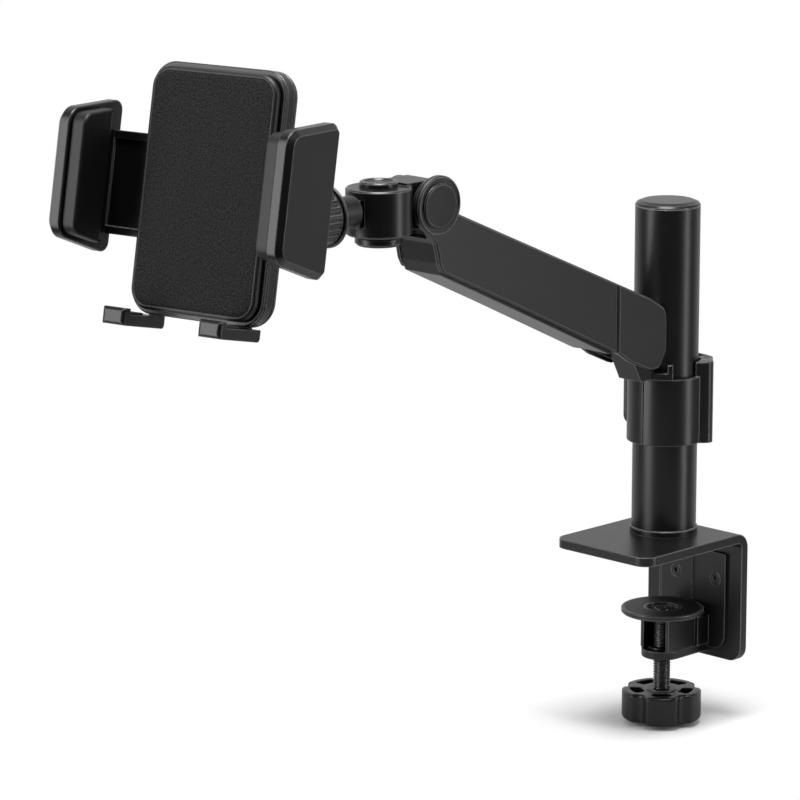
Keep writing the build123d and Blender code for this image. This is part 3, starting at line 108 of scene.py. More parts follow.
# Cloth of the cushion: threads per metre, shares of the colour, roughness and bump height
CLOTH_PITCH = 950.0
CLOTH_SHADES = (0.1, 2.4)
CLOTH_ROUGHNESS = (0.9, 0.68)
CLOTH_BUMP = 0.0003

# Meshes: angle above which an edge is sharp, longest step of an outline, rings of a slab's front
SHARP_ANGLE = math.radians(38)
OUTLINE_STEP = 0.003
FRONT_RINGS = 26


# Sizes and colours that a user would change

class StageSettings(bpy.types.PropertyGroup):
    azimuth: bpy.props.FloatProperty(
        name="Azimuth", description="Camera direction round the object",
        default=math.radians(-45.3), subtype="ANGLE")
    elevation: bpy.props.FloatProperty(
        name="Elevation", description="Camera height above the horizon",
        default=math.radians(12.5), subtype="ANGLE")
    distance: bpy.props.FloatProperty(
        name="Distance", description="Camera to the point it looks at", default=2.3, unit="LENGTH")
    lens: bpy.props.FloatProperty(
        name="Lens", description="Focal length in millimetres on a 36 mm sensor", default=192.15)
    target: bpy.props.FloatVectorProperty(
        name="Target", description="Point that the camera looks at",
        default=(-0.1005, 0.1016, 0.0773), subtype="XYZ")
    floor_color: bpy.props.FloatVectorProperty(
        name="Floor colour", description="Pale floor round the object",
        default=(0.93, 0.93, 0.93), subtype="COLOR")
    floor_bounce: bpy.props.FloatProperty(
        name="Floor bounce", description="Share of the floor's colour that lights the object",
        default=0.45, min=0.0, max=1.0)
    world_level: bpy.props.FloatProperty(
        name="World level", description="Strength of the even light on the viewer's side",
        default=0.05, min=0.0)
    backdrop_level: bpy.props.FloatProperty(
        name="Backdrop level", description="Strength of the white backdrop behind the object",
        default=0.9, min=0.0)
    key_power: bpy.props.FloatProperty(
        name="Key light", description="Power of the left soft box in watts", default=23.0, min=0.0)
    side_power: bpy.props.FloatProperty(
        name="Side light", description="Power of the right soft box in watts", default=12.0, min=0.0)
    top_power: bpy.props.FloatProperty(
        name="Top light", description="Power of the soft box above in watts", default=32.0, min=0.0)


class FinishSettings(bpy.types.PropertyGroup):
    paint: bpy.props.FloatVectorProperty(
        name="Paint", description="Colour of the painted metal",
        default=(0.0050, 0.0050, 0.0053), subtype="COLOR")
    plastic: bpy.props.FloatVectorProperty(
        name="Plastic", description="Colour of the moulded plastic",
        default=(0.0050, 0.0050, 0.0053), subtype="COLOR")
    rubber: bpy.props.FloatVectorProperty(
        name="Rubber", description="Colour of the soft pads",
        default=(0.0045, 0.0045, 0.0047), subtype="COLOR")
    fabric: bpy.props.FloatVectorProperty(
        name="Fabric", description="Colour of the face cushion",
        default=(0.0145, 0.0145, 0.0148), subtype="COLOR")
    black_steel: bpy.props.FloatVectorProperty(
        name="Blackened steel", description="Colour of the screws and axles", default=(0.045, 0.045, 0.048),
        subtype="COLOR")
    steel: bpy.props.FloatVectorProperty(
        name="Plain steel", description="Colour of the bare steel pieces", default=(0.50, 0.50, 0.51),
        subtype="COLOR")
    brass: bpy.props.FloatVectorProperty(
        name="Brass", description="Colour of the blackened brass bush", default=(0.035, 0.030, 0.022),
        subtype="COLOR")
    nylon: bpy.props.FloatVectorProperty(
        name="Nylon", description="Colour of the nylon pieces", default=(0.030, 0.030, 0.031),
        subtype="COLOR")
    # The edge radius also sets the width of the painted edge highlight
    edge_radius: bpy.props.FloatProperty(
        name="Edge radius", description="Rounding that the light shows along edges",
        default=0.0008, unit="LENGTH")


class ThreadSettings(bpy.types.PropertyGroup):
    pitch: bpy.props.FloatProperty(
        name="Pitch", description="Rise of the thread per turn", default=0.0015, unit="LENGTH")
    depth: bpy.props.FloatProperty(
        name="Depth", description="Height of the thread", default=0.0008, unit="LENGTH")
    radius: bpy.props.FloatProperty(
        name="Radius", description="Outside radius of the thread", default=0.0047, unit="LENGTH")
    bore: bpy.props.FloatProperty(
        name="Bore", description="Radius of the hole for the tip screw", default=0.002, unit="LENGTH")
    bore_depth: bpy.props.FloatProperty(
        name="Bore depth", description="Depth of that hole", default=0.00645, unit="LENGTH")


class CushionSettings(bpy.types.PropertyGroup):
    width: bpy.props.FloatProperty(name="Width", description="Cushion width", default=0.0738, unit="LENGTH")
    height: bpy.props.FloatProperty(
        name="Height", description="Cushion height", default=0.1166, unit="LENGTH")
    corner: bpy.props.FloatProperty(
        name="Corner", description="Radius of the cushion's corners", default=0.0105, unit="LENGTH")
    thickness: bpy.props.FloatProperty(
        name="Thickness", description="Cushion thickness", default=0.0042, unit="LENGTH")
    border: bpy.props.FloatProperty(
        name="Border", description="Width of the smooth rounded border", default=0.0019, unit="LENGTH")
    crown: bpy.props.FloatProperty(
        name="Crown", description="Rise of the middle above the border", default=0.0003, unit="LENGTH")


class PadSettings(bpy.types.PropertyGroup):
    join: bpy.props.FloatProperty(
        name="Join", description="Jaw pad's back to the middle of the cradle",
        default=0.0604, unit="LENGTH")
    thickness: bpy.props.FloatProperty(
        name="Thickness", description="Jaw pad thickness", default=0.0074, unit="LENGTH")
    edge: bpy.props.FloatProperty(
        name="Edge", description="Rounding of the jaw pad's edge", default=0.0014, unit="LENGTH")
    crown: bpy.props.FloatProperty(
        name="Crown", description="Hollow of the jaw pad's face", default=0.0002, unit="LENGTH")
    lean: bpy.props.FloatProperty(
        name="Lean", description="Slope of the jaw's upper and lower side", default=0.182)


SETTINGS = {"ph_stage": StageSettings, "ph_finish": FinishSettings, "ph_thread": ThreadSettings,
            "ph_cushion": CushionSettings, "ph_pads": PadSettings}


# The cradle's own frame: x right, y up, z out of the pad toward the phone

YAW, TILT = math.radians(190.0), math.radians(11.1)
NORMAL = np.array([math.cos(YAW) * math.cos(TILT), math.sin(YAW) * math.cos(TILT), math.sin(TILT)])
RIGHT = np.array([-math.sin(YAW), math.cos(YAW), 0.0])
UP = np.cross(NORMAL, RIGHT)
BALL = np.array([-0.272, 0.0, 0.210])
REACH = 0.082       # ball centre to the pad's face
RISE = 0.009        # and up to the pad's middle
PAD_CENTRE = BALL + REACH * NORMAL + RISE * UP

SCREW_AXIS = np.array([-0.0022, -0.0020, 0.0])


def in_cradle(x, y, z):
    """Points of the row's frame from arrays in the cradle's frame: centre + x right + y up + z normal."""
    return PAD_CENTRE + x[..., None] * RIGHT + y[..., None] * UP + z[..., None] * NORMAL


# Meshes from grids of points

def grid_faces(rows, columns, wrap_rows=False):
    """Quads between neighbours of a grid whose columns wrap round; its rows wrap too for a closed tube."""
    last = rows if wrap_rows else rows - 1
    i, j = np.meshgrid(np.arange(last), np.arange(columns), indexing="ij")
    k, n = (i + 1) % rows, (j + 1) % columns
    return np.stack([i * columns + j, i * columns + n, k * columns + n, k * columns + j], -1).reshape(-1, 4)


def make_piece(name, points, wrap_rows=False, uv=None):
    """A mesh object from a grid of rows by columns.

    The first and last rows are closed with fans to their middle, unless the rows wrap round.
    """
    rows, columns = points.shape[:2]
    verts = points.reshape(-1, 3)
    quads = grid_faces(rows, columns, wrap_rows)
    fans = np.zeros((0, 3), int)
    if not wrap_rows:
        ends = np.array([points[0].mean(0), points[-1].mean(0)])
        verts = np.vstack([verts, ends])
        ring = np.arange(columns)
        after = (ring + 1) % columns
        first = np.stack([np.full(columns, rows * columns), after, ring], -1)
        base = (rows - 1) * columns
        final = np.stack([np.full(columns, rows * columns + 1), base + ring, base + after], -1)
        fans = np.vstack([first, final])
    tris = np.vstack([quads[:, [0, 1, 2]], quads[:, [0, 2, 3]], fans])
    a, b, c = (verts[tris[:, i]] for i in range(3))
    if np.einsum("ij,ij->i", a, np.cross(b, c)).sum() < 0:
        quads, fans = quads[:, ::-1], fans[:, ::-1]
    mesh = bpy.data.meshes.new(name)
    mesh.from_pydata(verts.tolist(), [], quads.tolist() + fans.tolist())
    mesh.validate()
    mesh.shade_smooth()
    mesh.set_sharp_from_angle(angle=SHARP_ANGLE)
    if uv is not None:
        flat = uv.reshape(-1, 2)
        if not wrap_rows:
            flat = np.vstack([flat, uv[0].mean(0), uv[-1].mean(0)])
        loops = np.zeros(len(mesh.loops), np.int32)
        mesh.loops.foreach_get("vertex_index", loops)
        layer = mesh.uv_layers.new(name="Pattern")
        layer.data.foreach_set("uv", flat[loops].astype(np.float32).ravel())
    piece = bpy.data.objects.new(name, mesh)
    bpy.context.scene.collection.objects.link(piece)
    return piece


def place(piece, body, node):
    """Rides on a body in place of a CAD node."""
    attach(piece, body)
    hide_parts(node)
    return piece


def rounded_outline(corners, radii, steps):
    """Convex outline with arcs at its corners, and outward normals.

    At a corner P with unit directions a and b to its neighbours and half angle h between them, the arc's
    centre is P + (a + b) / |a + b| * r / sin(h), and the points are centre + r * (cos t, sin t) from one
    tangent to the other.
    """
    p = np.asarray(corners, float)
    r = np.asarray(radii, float)[:, None]
    a = np.roll(p, 1, 0) - p
    b = np.roll(p, -1, 0) - p
    a /= np.linalg.norm(a, axis=1)[:, None]
    b /= np.linalg.norm(b, axis=1)[:, None]
    half = np.arccos(np.clip((a * b).sum(1), -1, 1))[:, None] / 2
    mid = (a + b) / np.linalg.norm(a + b, axis=1)[:, None]
    centre = p + mid * r / np.sin(half)
    start = p + a * r / np.tan(half) - centre
    end = p + b * r / np.tan(half) - centre
    t0 = np.arctan2(start[:, 1], start[:, 0])
    sweep = (np.arctan2(end[:, 1], end[:, 0]) - t0 + np.pi) % (2 * np.pi) - np.pi
    t = t0[:, None] + sweep[:, None] * np.linspace(0, 1, steps)[None, :]
    normal = np.stack([np.cos(t), np.sin(t)], -1)
    points = centre[:, None, :] + r[:, :, None] * normal
    return points.reshape(-1, 2), normal.reshape(-1, 2)


def fill_outline(points, normals, longest):
    """More points along the straight runs, by linear steps no longer than a length."""
    following = np.roll(points, -1, 0)
    count = np.maximum(1, np.ceil(np.linalg.norm(following - points, axis=1) / longest)).astype(int)
    index = np.repeat(np.arange(len(points)), count)
    step = (np.arange(len(index)) - np.repeat(np.cumsum(count) - count, count)) / np.repeat(count, count)
    spots = points[index] + (following - points)[index] * step[:, None]
    normal = normals[index] * (1 - step[:, None]) + np.roll(normals, -1, 0)[index] * step[:, None]
    return spots, normal / np.linalg.norm(normal, axis=1)[:, None]


def pillow(outline, normals, profile, centre, dome):
    """Slab with a shaped edge.

    P(u, v) = outline(u) - inset(v) * normal(u), at height(v), then rings that shrink to the centre by a
    factor s from 1 to nearly 0, while the height follows a dome: h + dome * (1 - s^2).
    """
    inset, height = np.array(profile).T
    side = outline[None, :, :] - inset[:, None, None] * normals[None, :, :]
    level = np.repeat(height[:, None], len(outline), 1)
    s = np.linspace(1, 0.02, FRONT_RINGS)[1:]
    top = centre + (side[-1] - centre)[None, :, :] * s[:, None, None]
    lift = height[-1] + dome * (1 - s ** 2)
    flat = np.vstack([side, top])
    level = np.vstack([level, np.repeat(lift[:, None], len(outline), 1)])
    return flat, level


def quarter(radius, x, z, steps=7):
    """Inset and height of a quarter round that starts at the wall and ends level."""
    t = np.linspace(0, np.pi / 2, steps)
    return [(x + radius * (1 - math.cos(a)), z - radius * (1 - math.sin(a))) for a in t]


# Shared shader groups

def add(tree, kind, **values):
    """A new node with its properties set."""
    node = tree.nodes.new(kind)
    for key, value in values.items():
        setattr(node, key, value)
    return node


def new_group(name, inputs, outputs):
    """An empty node group with its sockets, and its input and output nodes."""
    tree = bpy.data.node_groups.new(name, "ShaderNodeTree")
    for label, kind, value in inputs:
        socket = tree.interface.new_socket(name=label, in_out="INPUT", socket_type=kind)
        if value is not None:
            socket.default_value = value
    for label, kind in outputs:
        tree.interface.new_socket(name=label, in_out="OUTPUT", socket_type=kind)
    return tree, tree.nodes.new("NodeGroupInput"), tree.nodes.new("NodeGroupOutput")


def math_node(tree, operation, a, b=None, clamp=False):
    """The output of a math node whose inputs are numbers or sockets."""
    node = add(tree, "ShaderNodeMath", operation=operation, use_clamp=clamp)
    for socket, value in zip(node.inputs, (a, b)):
        if value is None:
            continue
        if isinstance(value, (int, float)):
            socket.default_value = value
        else:
            tree.links.new(value, socket)
    return node.outputs[0]


def grain_group():
    """Fine moulded or sprayed grain: two noises and a cell pattern, as a height and as a slow shade."""
    name = "Fine grain"
    if name in bpy.data.node_groups:
        return bpy.data.node_groups[name]
    tree, gi, go = new_group(name, [("Vector", "NodeSocketVector", None),
                                    ("Scale", "NodeSocketFloat", 2500.0), ("Cells", "NodeSocketFloat", 0.4)],
                             [("Height", "NodeSocketFloat"), ("Shade", "NodeSocketFloat"),
                              ("Patch", "NodeSocketFloat")])
    fine = add(tree, "ShaderNodeTexNoise")
    fine.inputs["Detail"].default_value = 3.0
    cell = add(tree, "ShaderNodeTexVoronoi", feature="F1")
    slow = add(tree, "ShaderNodeTexNoise")
    slow.inputs["Scale"].default_value = 28.0
    slow.inputs["Detail"].default_value = 4.0
    for node in (fine, cell, slow):
        tree.links.new(gi.outputs["Vector"], node.inputs["Vector"])
    tree.links.new(gi.outputs["Scale"], fine.inputs["Scale"])
    tree.links.new(math_node(tree, "MULTIPLY", gi.outputs["Scale"], 0.55), cell.inputs["Scale"])
    cells = math_node(tree, "MULTIPLY", cell.outputs["Distance"], gi.outputs["Cells"])
    height = math_node(tree, "ADD", fine.outputs["Fac"], cells)
    tree.links.new(height, go.inputs["Height"])
    tree.links.new(fine.outputs["Fac"], go.inputs["Shade"])
    tree.links.new(slow.outputs["Fac"], go.inputs["Patch"])
    return tree


def edge_group():
    """Rounded edges in the light, and a mask of where they are, for a painted highlight: one minus the dot
    product of both normals.
    """
    name = "Soft edges"
    if name in bpy.data.node_groups:
        return bpy.data.node_groups[name]
    tree, gi, go = new_group(name, [("Radius", "NodeSocketFloat", 0.0004), ("Gain", "NodeSocketFloat", 4.0),
                                    ("Break", "NodeSocketFloat", 0.5)],
                             [("Normal", "NodeSocketVector"), ("Mask", "NodeSocketFloat")])
    bevel = add(tree, "ShaderNodeBevel", samples=6)
    tree.links.new(gi.outputs["Radius"], bevel.inputs["Radius"])
    geometry = add(tree, "ShaderNodeNewGeometry")
    dot = add(tree, "ShaderNodeVectorMath", operation="DOT_PRODUCT")
    tree.links.new(bevel.outputs["Normal"], dot.inputs[0])
    tree.links.new(geometry.outputs["Normal"], dot.inputs[1])
    away = math_node(tree, "SUBTRACT", 1.0, dot.outputs["Value"])
    gain = math_node(tree, "MULTIPLY", away, gi.outputs["Gain"], clamp=True)
    # Painted highlight: share of the edge mask that lightens the colour
    painted_highlight_mask = math_node(tree, "MULTIPLY", gain, gi.outputs["Break"])
    tree.links.new(bevel.outputs["Normal"], go.inputs["Normal"])
    tree.links.new(painted_highlight_mask, go.inputs["Mask"])
    return tree


def weave_group():
    """Close flock cloth on the piece's own pattern map: crossed threads under fine random nap."""
    name = "Close weave"
    if name in bpy.data.node_groups:
        return bpy.data.node_groups[name]
    tree, gi, go = new_group(name, [("Pitch", "NodeSocketFloat", 900.0)],
                             [("Height", "NodeSocketFloat"), ("Shade", "NodeSocketFloat")])
    uv = add(tree, "ShaderNodeUVMap", uv_map="Pattern")
    scaled = add(tree, "ShaderNodeVectorMath", operation="SCALE")
    tree.links.new(uv.outputs["UV"], scaled.inputs[0])
    tree.links.new(gi.outputs["Pitch"], scaled.inputs["Scale"])
    parts = add(tree, "ShaderNodeSeparateXYZ")
    tree.links.new(scaled.outputs[0], parts.inputs[0])
    across = math_node(tree, "SINE", math_node(tree, "MULTIPLY", parts.outputs["X"], 2 * math.pi))
    along = math_node(tree, "SINE", math_node(tree, "MULTIPLY", parts.outputs["Y"], 2 * math.pi))
    weave = math_node(tree, "MULTIPLY", across, along)
    nap = add(tree, "ShaderNodeTexNoise")
    nap.inputs["Scale"].default_value = 1.15
    nap.inputs["Detail"].default_value = 3.0
    nap.inputs["Roughness"].default_value = 0.7
    tree.links.new(scaled.outputs[0], nap.inputs["Vector"])
    height = math_node(tree, "ADD", math_node(tree, "MULTIPLY", weave, 0.22), nap.outputs["Fac"])
    spread = add(tree, "ShaderNodeMapRange")
    spread.inputs["From Min"].default_value = 0.40
    spread.inputs["From Max"].default_value = 0.64
    tree.links.new(height, spread.inputs["Value"])
    tree.links.new(height, go.inputs["Height"])
    tree.links.new(spread.outputs["Result"], go.inputs["Shade"])
    return tree


def start_material(name):
    """An empty node material with a Principled BSDF wired to its output."""
    material = bpy.data.materials.new(name)
    material.use_nodes = True
    tree = material.node_tree
    tree.nodes.clear()
    shader = tree.nodes.new("ShaderNodeBsdfPrincipled")
    out = tree.nodes.new("ShaderNodeOutputMaterial")
    tree.links.new(shader.outputs["BSDF"], out.inputs["Surface"])
    return material, tree, shader


def mix_color(tree, factor, a, b):
    """The output of a mix of two colours, which are tuples or sockets, as the factor is."""
    node = add(tree, "ShaderNodeMix", data_type="RGBA")
    sockets = [s for s in node.inputs if s.type == "RGBA"]
    value = next(s for s in node.inputs if s.type == "VALUE")
    if isinstance(factor, (int, float)):
        value.default_value = factor
    else:
        tree.links.new(factor, value)
    for socket, color in zip(sockets, (a, b)):
        if isinstance(color, tuple):
            socket.default_value = (*color, 1.0)
        else:
            tree.links.new(color, socket)
    return next(s for s in node.outputs if s.type == "RGBA")


def finish_material(name, setting, rough, spread, scale, bump, cells, edge, metallic, specular):
    """A solid finish: colour with slow patches, grain in roughness and bump, and a painted highlight that
    lightens the colour along rounded edges.
    """
    if name in bpy.data.materials:
        return bpy.data.materials[name]
    settings = bpy.context.scene.ph_finish
    color = tuple(getattr(settings, setting))
    material, tree, shader = start_material(name)
    coords = add(tree, "ShaderNodeTexCoord")
    grain = add(tree, "ShaderNodeGroup", node_tree=grain_group())
    tree.links.new(coords.outputs["Object"], grain.inputs["Vector"])
    grain.inputs["Scale"].default_value = scale
    grain.inputs["Cells"].default_value = cells
    edges = add(tree, "ShaderNodeGroup", node_tree=edge_group())
    edges.inputs["Radius"].default_value = settings.edge_radius
    edges.inputs["Gain"].default_value = EDGE_GAIN
    edges.inputs["Break"].default_value = EDGE_HIGHLIGHT_SHARE
    dark, pale = (tuple(share * c for c in color) for share in PATCHES)
    # Painted highlight: the colour lightened along the edges that the mask finds
    painted_edge_highlight = tuple(min(1.0, c + edge) for c in color)
    body = mix_color(tree, grain.outputs["Patch"], dark, pale)
    tree.links.new(mix_color(tree, edges.outputs["Mask"], body, painted_edge_highlight), shader.inputs["Base Color"])
    gloss = add(tree, "ShaderNodeMapRange")
    gloss.inputs["To Min"].default_value = rough - spread
    gloss.inputs["To Max"].default_value = rough + spread
    both = math_node(tree, "ADD", grain.outputs["Shade"], grain.outputs["Patch"])
    tree.links.new(math_node(tree, "MULTIPLY", both, 0.5), gloss.inputs["Value"])
    tree.links.new(gloss.outputs["Result"], shader.inputs["Roughness"])
    height = add(tree, "ShaderNodeBump")
    height.inputs["Strength"].default_value = 1.0
    height.inputs["Distance"].default_value = bump
    tree.links.new(grain.outputs["Height"], height.inputs["Height"])
    tree.links.new(edges.outputs["Normal"], height.inputs["Normal"])
    tree.links.new(height.outputs["Normal"], shader.inputs["Normal"])
    shader.inputs["Metallic"].default_value = metallic
    shader.inputs["Specular IOR Level"].default_value = specular
    return material


def cloth_material():
    """Matte close cloth of the face cushion, with nap and a faint sheen."""
    name = "Cushion cloth"
    if name in bpy.data.materials:
        return bpy.data.materials[name]
    color = tuple(bpy.context.scene.ph_finish.fabric)
    material, tree, shader = start_material(name)
    weave = add(tree, "ShaderNodeGroup", node_tree=weave_group())
    weave.inputs["Pitch"].default_value = CLOTH_PITCH
    dark, pale = (tuple(share * c for c in color) for share in CLOTH_SHADES)
    tree.links.new(mix_color(tree, weave.outputs["Shade"], dark, pale), shader.inputs["Base Color"])
    spread = add(tree, "ShaderNodeMapRange")
    spread.inputs["To Min"].default_value, spread.inputs["To Max"].default_value = CLOTH_ROUGHNESS
    tree.links.new(weave.outputs["Shade"], spread.inputs["Value"])
    tree.links.new(spread.outputs["Result"], shader.inputs["Roughness"])
    bump = add(tree, "ShaderNodeBump")
    bump.inputs["Distance"].default_value = CLOTH_BUMP
    tree.links.new(weave.outputs["Height"], bump.inputs["Height"])
    tree.links.new(bump.outputs["Normal"], shader.inputs["Normal"])
    shader.inputs["Sheen Weight"].default_value = 0.02
    shader.inputs["Sheen Roughness"].default_value = 0.5
    shader.inputs["Specular IOR Level"].default_value = 0.12
    return material


def slot_material(slot):
    """The finish of a material slot of the record."""
    return cloth_material() if slot == "soft_pad" else finish_material(*FINISHES[slot])


# Operators

class PHONEHOLDER_OT_stage(bpy.types.Operator):
    """Pale floor, even world, three soft boxes and the camera at the photograph's angle"""
    bl_idname = "phoneholder.stage"
    bl_label = "Stage and camera"

    def floor(self, settings, level):
        """A round floor that is white to the camera away from the shadow under the clamp."""
        t = np.linspace(0, 2 * np.pi, FLOOR_SIDES, endpoint=False)
        r = np.array(FLOOR_RINGS)
        x = FLOOR_CENTRE[0] + r[:, None] * np.cos(t)
        y = FLOOR_CENTRE[1] + r[:, None] * np.sin(t)
        points = np.stack([x, y, np.full_like(x, level)], -1)
        verts = np.vstack([points.reshape(-1, 3), [[*FLOOR_CENTRE, level]]])
        quads = grid_faces(len(FLOOR_RINGS), FLOOR_SIDES)
        ring = np.arange(FLOOR_SIDES)
        middle = np.full(FLOOR_SIDES, len(FLOOR_RINGS) * FLOOR_SIDES)
        fan = np.stack([middle, ring, (ring + 1) % FLOOR_SIDES], -1)
        mesh = bpy.data.meshes.new("floor")
        mesh.from_pydata(verts.tolist(), [], quads[:, ::-1].tolist() + fan.tolist())
        floor = bpy.data.objects.new("floor", mesh)
        bpy.context.scene.collection.objects.link(floor)
        material, tree, shader = start_material("Pale floor")
        shader.inputs["Roughness"].default_value = 0.75
        shader.inputs["Specular IOR Level"].default_value = 0.2
        out = next(n for n in tree.nodes if n.type == "OUTPUT_MATERIAL")
        glow = add(tree, "ShaderNodeEmission")
        coords = add(tree, "ShaderNodeTexCoord")
        shift = add(tree, "ShaderNodeMapping")
        shift.inputs["Location"].default_value = tuple(-c for c in SHADOW_CENTRE)
        tree.links.new(coords.outputs["Object"], shift.inputs["Vector"])
        far = add(tree, "ShaderNodeVectorMath", operation="LENGTH")
        tree.links.new(shift.outputs["Vector"], far.inputs[0])
        fade = add(tree, "ShaderNodeMapRange", interpolation_type="SMOOTHSTEP")
        fade.inputs["From Min"].default_value, fade.inputs["From Max"].default_value = SHADOW_FADE
        tree.links.new(far.outputs["Value"], fade.inputs["Value"])
        path = add(tree, "ShaderNodeLightPath")
        seen = math_node(tree, "MULTIPLY", fade.outputs["Result"], path.outputs["Is Camera Ray"])
        pale = tuple(settings.floor_color)
        dim = tuple(settings.floor_bounce * c for c in pale)
        tree.links.new(mix_color(tree, path.outputs["Is Camera Ray"], dim, pale), shader.inputs["Base Color"])
        mix = add(tree, "ShaderNodeMixShader")
        tree.links.new(seen, mix.inputs["Fac"])
        tree.links.new(shader.outputs["BSDF"], mix.inputs[1])
        tree.links.new(glow.outputs["Emission"], mix.inputs[2])
        tree.links.new(mix.outputs["Shader"], out.inputs["Surface"])
        floor.data.materials.append(material)

    def world(self, settings):
        """White to the camera; to all else a dim room in front and a white backdrop behind the object."""
        world = bpy.data.worlds.new("Studio")
        bpy.context.scene.world = world
        world.use_nodes = True
        tree = world.node_tree
        tree.nodes.clear()
        out = add(tree, "ShaderNodeOutputWorld")
        even = add(tree, "ShaderNodeBackground")
        coords = add(tree, "ShaderNodeTexCoord")
        behind = add(tree, "ShaderNodeVectorMath", operation="DOT_PRODUCT")
        behind.inputs[1].default_value = (-math.sin(settings.azimuth), math.cos(settings.azimuth), 0.0)
        tree.links.new(coords.outputs["Generated"], behind.inputs[0])
        rise = add(tree, "ShaderNodeMapRange", interpolation_type="SMOOTHSTEP")
        rise.inputs["From Min"].default_value, rise.inputs["From Max"].default_value = BACKDROP_RISE
        rise.inputs["To Min"].default_value = settings.world_level
        rise.inputs["To Max"].default_value = settings.backdrop_level
        tree.links.new(behind.outputs["Value"], rise.inputs["Value"])
        tree.links.new(rise.outputs["Result"], even.inputs["Strength"])
        white = add(tree, "ShaderNodeBackground")
        white.inputs["Color"].default_value = (1.0, 1.0, 1.0, 1.0)
        path = add(tree, "ShaderNodeLightPath")
        mix = add(tree, "ShaderNodeMixShader")
        tree.links.new(path.outputs["Is Camera Ray"], mix.inputs["Fac"])
        tree.links.new(even.outputs["Background"], mix.inputs[1])
        tree.links.new(white.outputs["Background"], mix.inputs[2])
        tree.links.new(mix.outputs["Shader"], out.inputs["Surface"])

    def direction(self, azimuth, elevation):
        """Unit vector toward an azimuth and an elevation; azimuth 0 is along -y."""
        level = math.cos(elevation)
        return Vector((math.sin(azimuth) * level, -math.cos(azimuth) * level, math.sin(elevation)))

    def soft_box(self, name, azimuth, elevation, distance, size, power):
        """An area light that looks at the object's middle from a direction round it."""
        away = self.direction(math.radians(azimuth), math.radians(elevation))
        light = bpy.data.lights.new(name, "AREA")
        light.shape = "RECTANGLE"
        light.size, light.size_y = size
        light.energy = power
        lamp = bpy.data.objects.new(name, light)
        lamp.location = Vector(LIGHT_TARGET) + away * distance
        lamp.rotation_mode = "QUATERNION"
        lamp.rotation_quaternion = (-away).to_track_quat("-Z", "Y")
        bpy.context.scene.collection.objects.link(lamp)

    def execute(self, context):
        settings = context.scene.ph_stage
        context.scene.view_settings.view_transform = "Standard"
        self.floor(settings, CAD_BOX[0].z)
        self.world(settings)
        for name, azimuth, elevation, distance, size, power in LIGHTS:
            self.soft_box(name, azimuth, elevation, distance, size, getattr(settings, power))
        away = self.direction(settings.azimuth, settings.elevation)
        data = bpy.data.cameras.new("Camera")
        data.sensor_width = 36.0
        data.lens = settings.lens
        data.clip_start, data.clip_end = 0.05, 50.0
        camera = bpy.data.objects.new("Camera", data)
        camera.location = Vector(settings.target) + away * settings.distance
        camera.rotation_mode = "QUATERNION"
        camera.rotation_quaternion = (-away).to_track_quat("-Z", "Y")
        context.scene.collection.objects.link(camera)
        context.scene.camera = camera
        return {"FINISHED"}


class PHONEHOLDER_OT_finishes(bpy.types.Operator):
    """Gives every CAD node the finish of its material slot"""
    bl_idname = "phoneholder.finishes"
    bl_label = "Finishes"

    def execute(self, context):
        for node, piece in frame["nodes"].items():
            material = slot_material(SLOT_OF[node])
            if not piece.material_slots:
                piece.data.materials.append(material)
            for slot in piece.material_slots:
                slot.link = "OBJECT"
                slot.material = material
        return {"FINISHED"}


class PHONEHOLDER_OT_clamp_screw(bpy.types.Operator):
    """Clamp screw with a cut thread.

    Radius at height z and angle t: r - depth * f((z / pitch - t / 2 pi) mod 1), where f is a triangle wave
    cut flat at its top and bottom; the thread runs out in a plain neck and a chamfered end.
    """
    bl_idname = "phoneholder.clamp_screw"
    bl_label = "Threaded clamp screw"

    COLUMNS = 40            # points round the thread
    ROWS_PER_TURN = 12
    FLAT = 0.14             # share of the pitch at the crest and at the root
    NECK = 0.0022           # plain end under the disc
    RUN_OUT = 0.0006        # end of the thread at the neck
    END_DEPTH = 0.4         # share of the thread's depth cut off the end
    END_SLOPE = 0.8         # radius gained per length above the end

    def execute(self, context):
        s = context.scene.ph_thread
        low, high = (corner.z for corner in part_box("clamp_screw"))
        t = np.linspace(0, 2 * np.pi, self.COLUMNS, endpoint=False)
        count = int((high - low) / s.pitch * self.ROWS_PER_TURN)
        z = np.linspace(low, high, count)[:, None] + 0 * t
        phase = (z / s.pitch - t / (2 * np.pi)) % 1.0
        wave = np.clip((np.abs(phase - 0.5) * 2 - self.FLAT) / (1 - 2 * self.FLAT), 0, 1)
        neck = np.clip((high - self.NECK - z) / self.RUN_OUT, 0, 1)
        r = s.radius - s.depth * (wave * neck + (1 - neck))
        r = np.minimum(r, s.radius - s.depth * self.END_DEPTH + (high - z) * self.END_SLOPE)
        bore = np.full((2, len(t)), s.bore)
        z = np.vstack([z, [0 * t + high, 0 * t + high - s.bore_depth]])
        r = np.vstack([r, bore])
        points = SCREW_AXIS + np.stack([r * np.cos(t), r * np.sin(t), z], -1)
        piece = make_piece("clamp_screw_thread", points)
        piece.data.materials.append(slot_material("black_steel"))
        place(piece, BODY_OF["clamp_screw"], "clamp_screw")
        return {"FINISHED"}


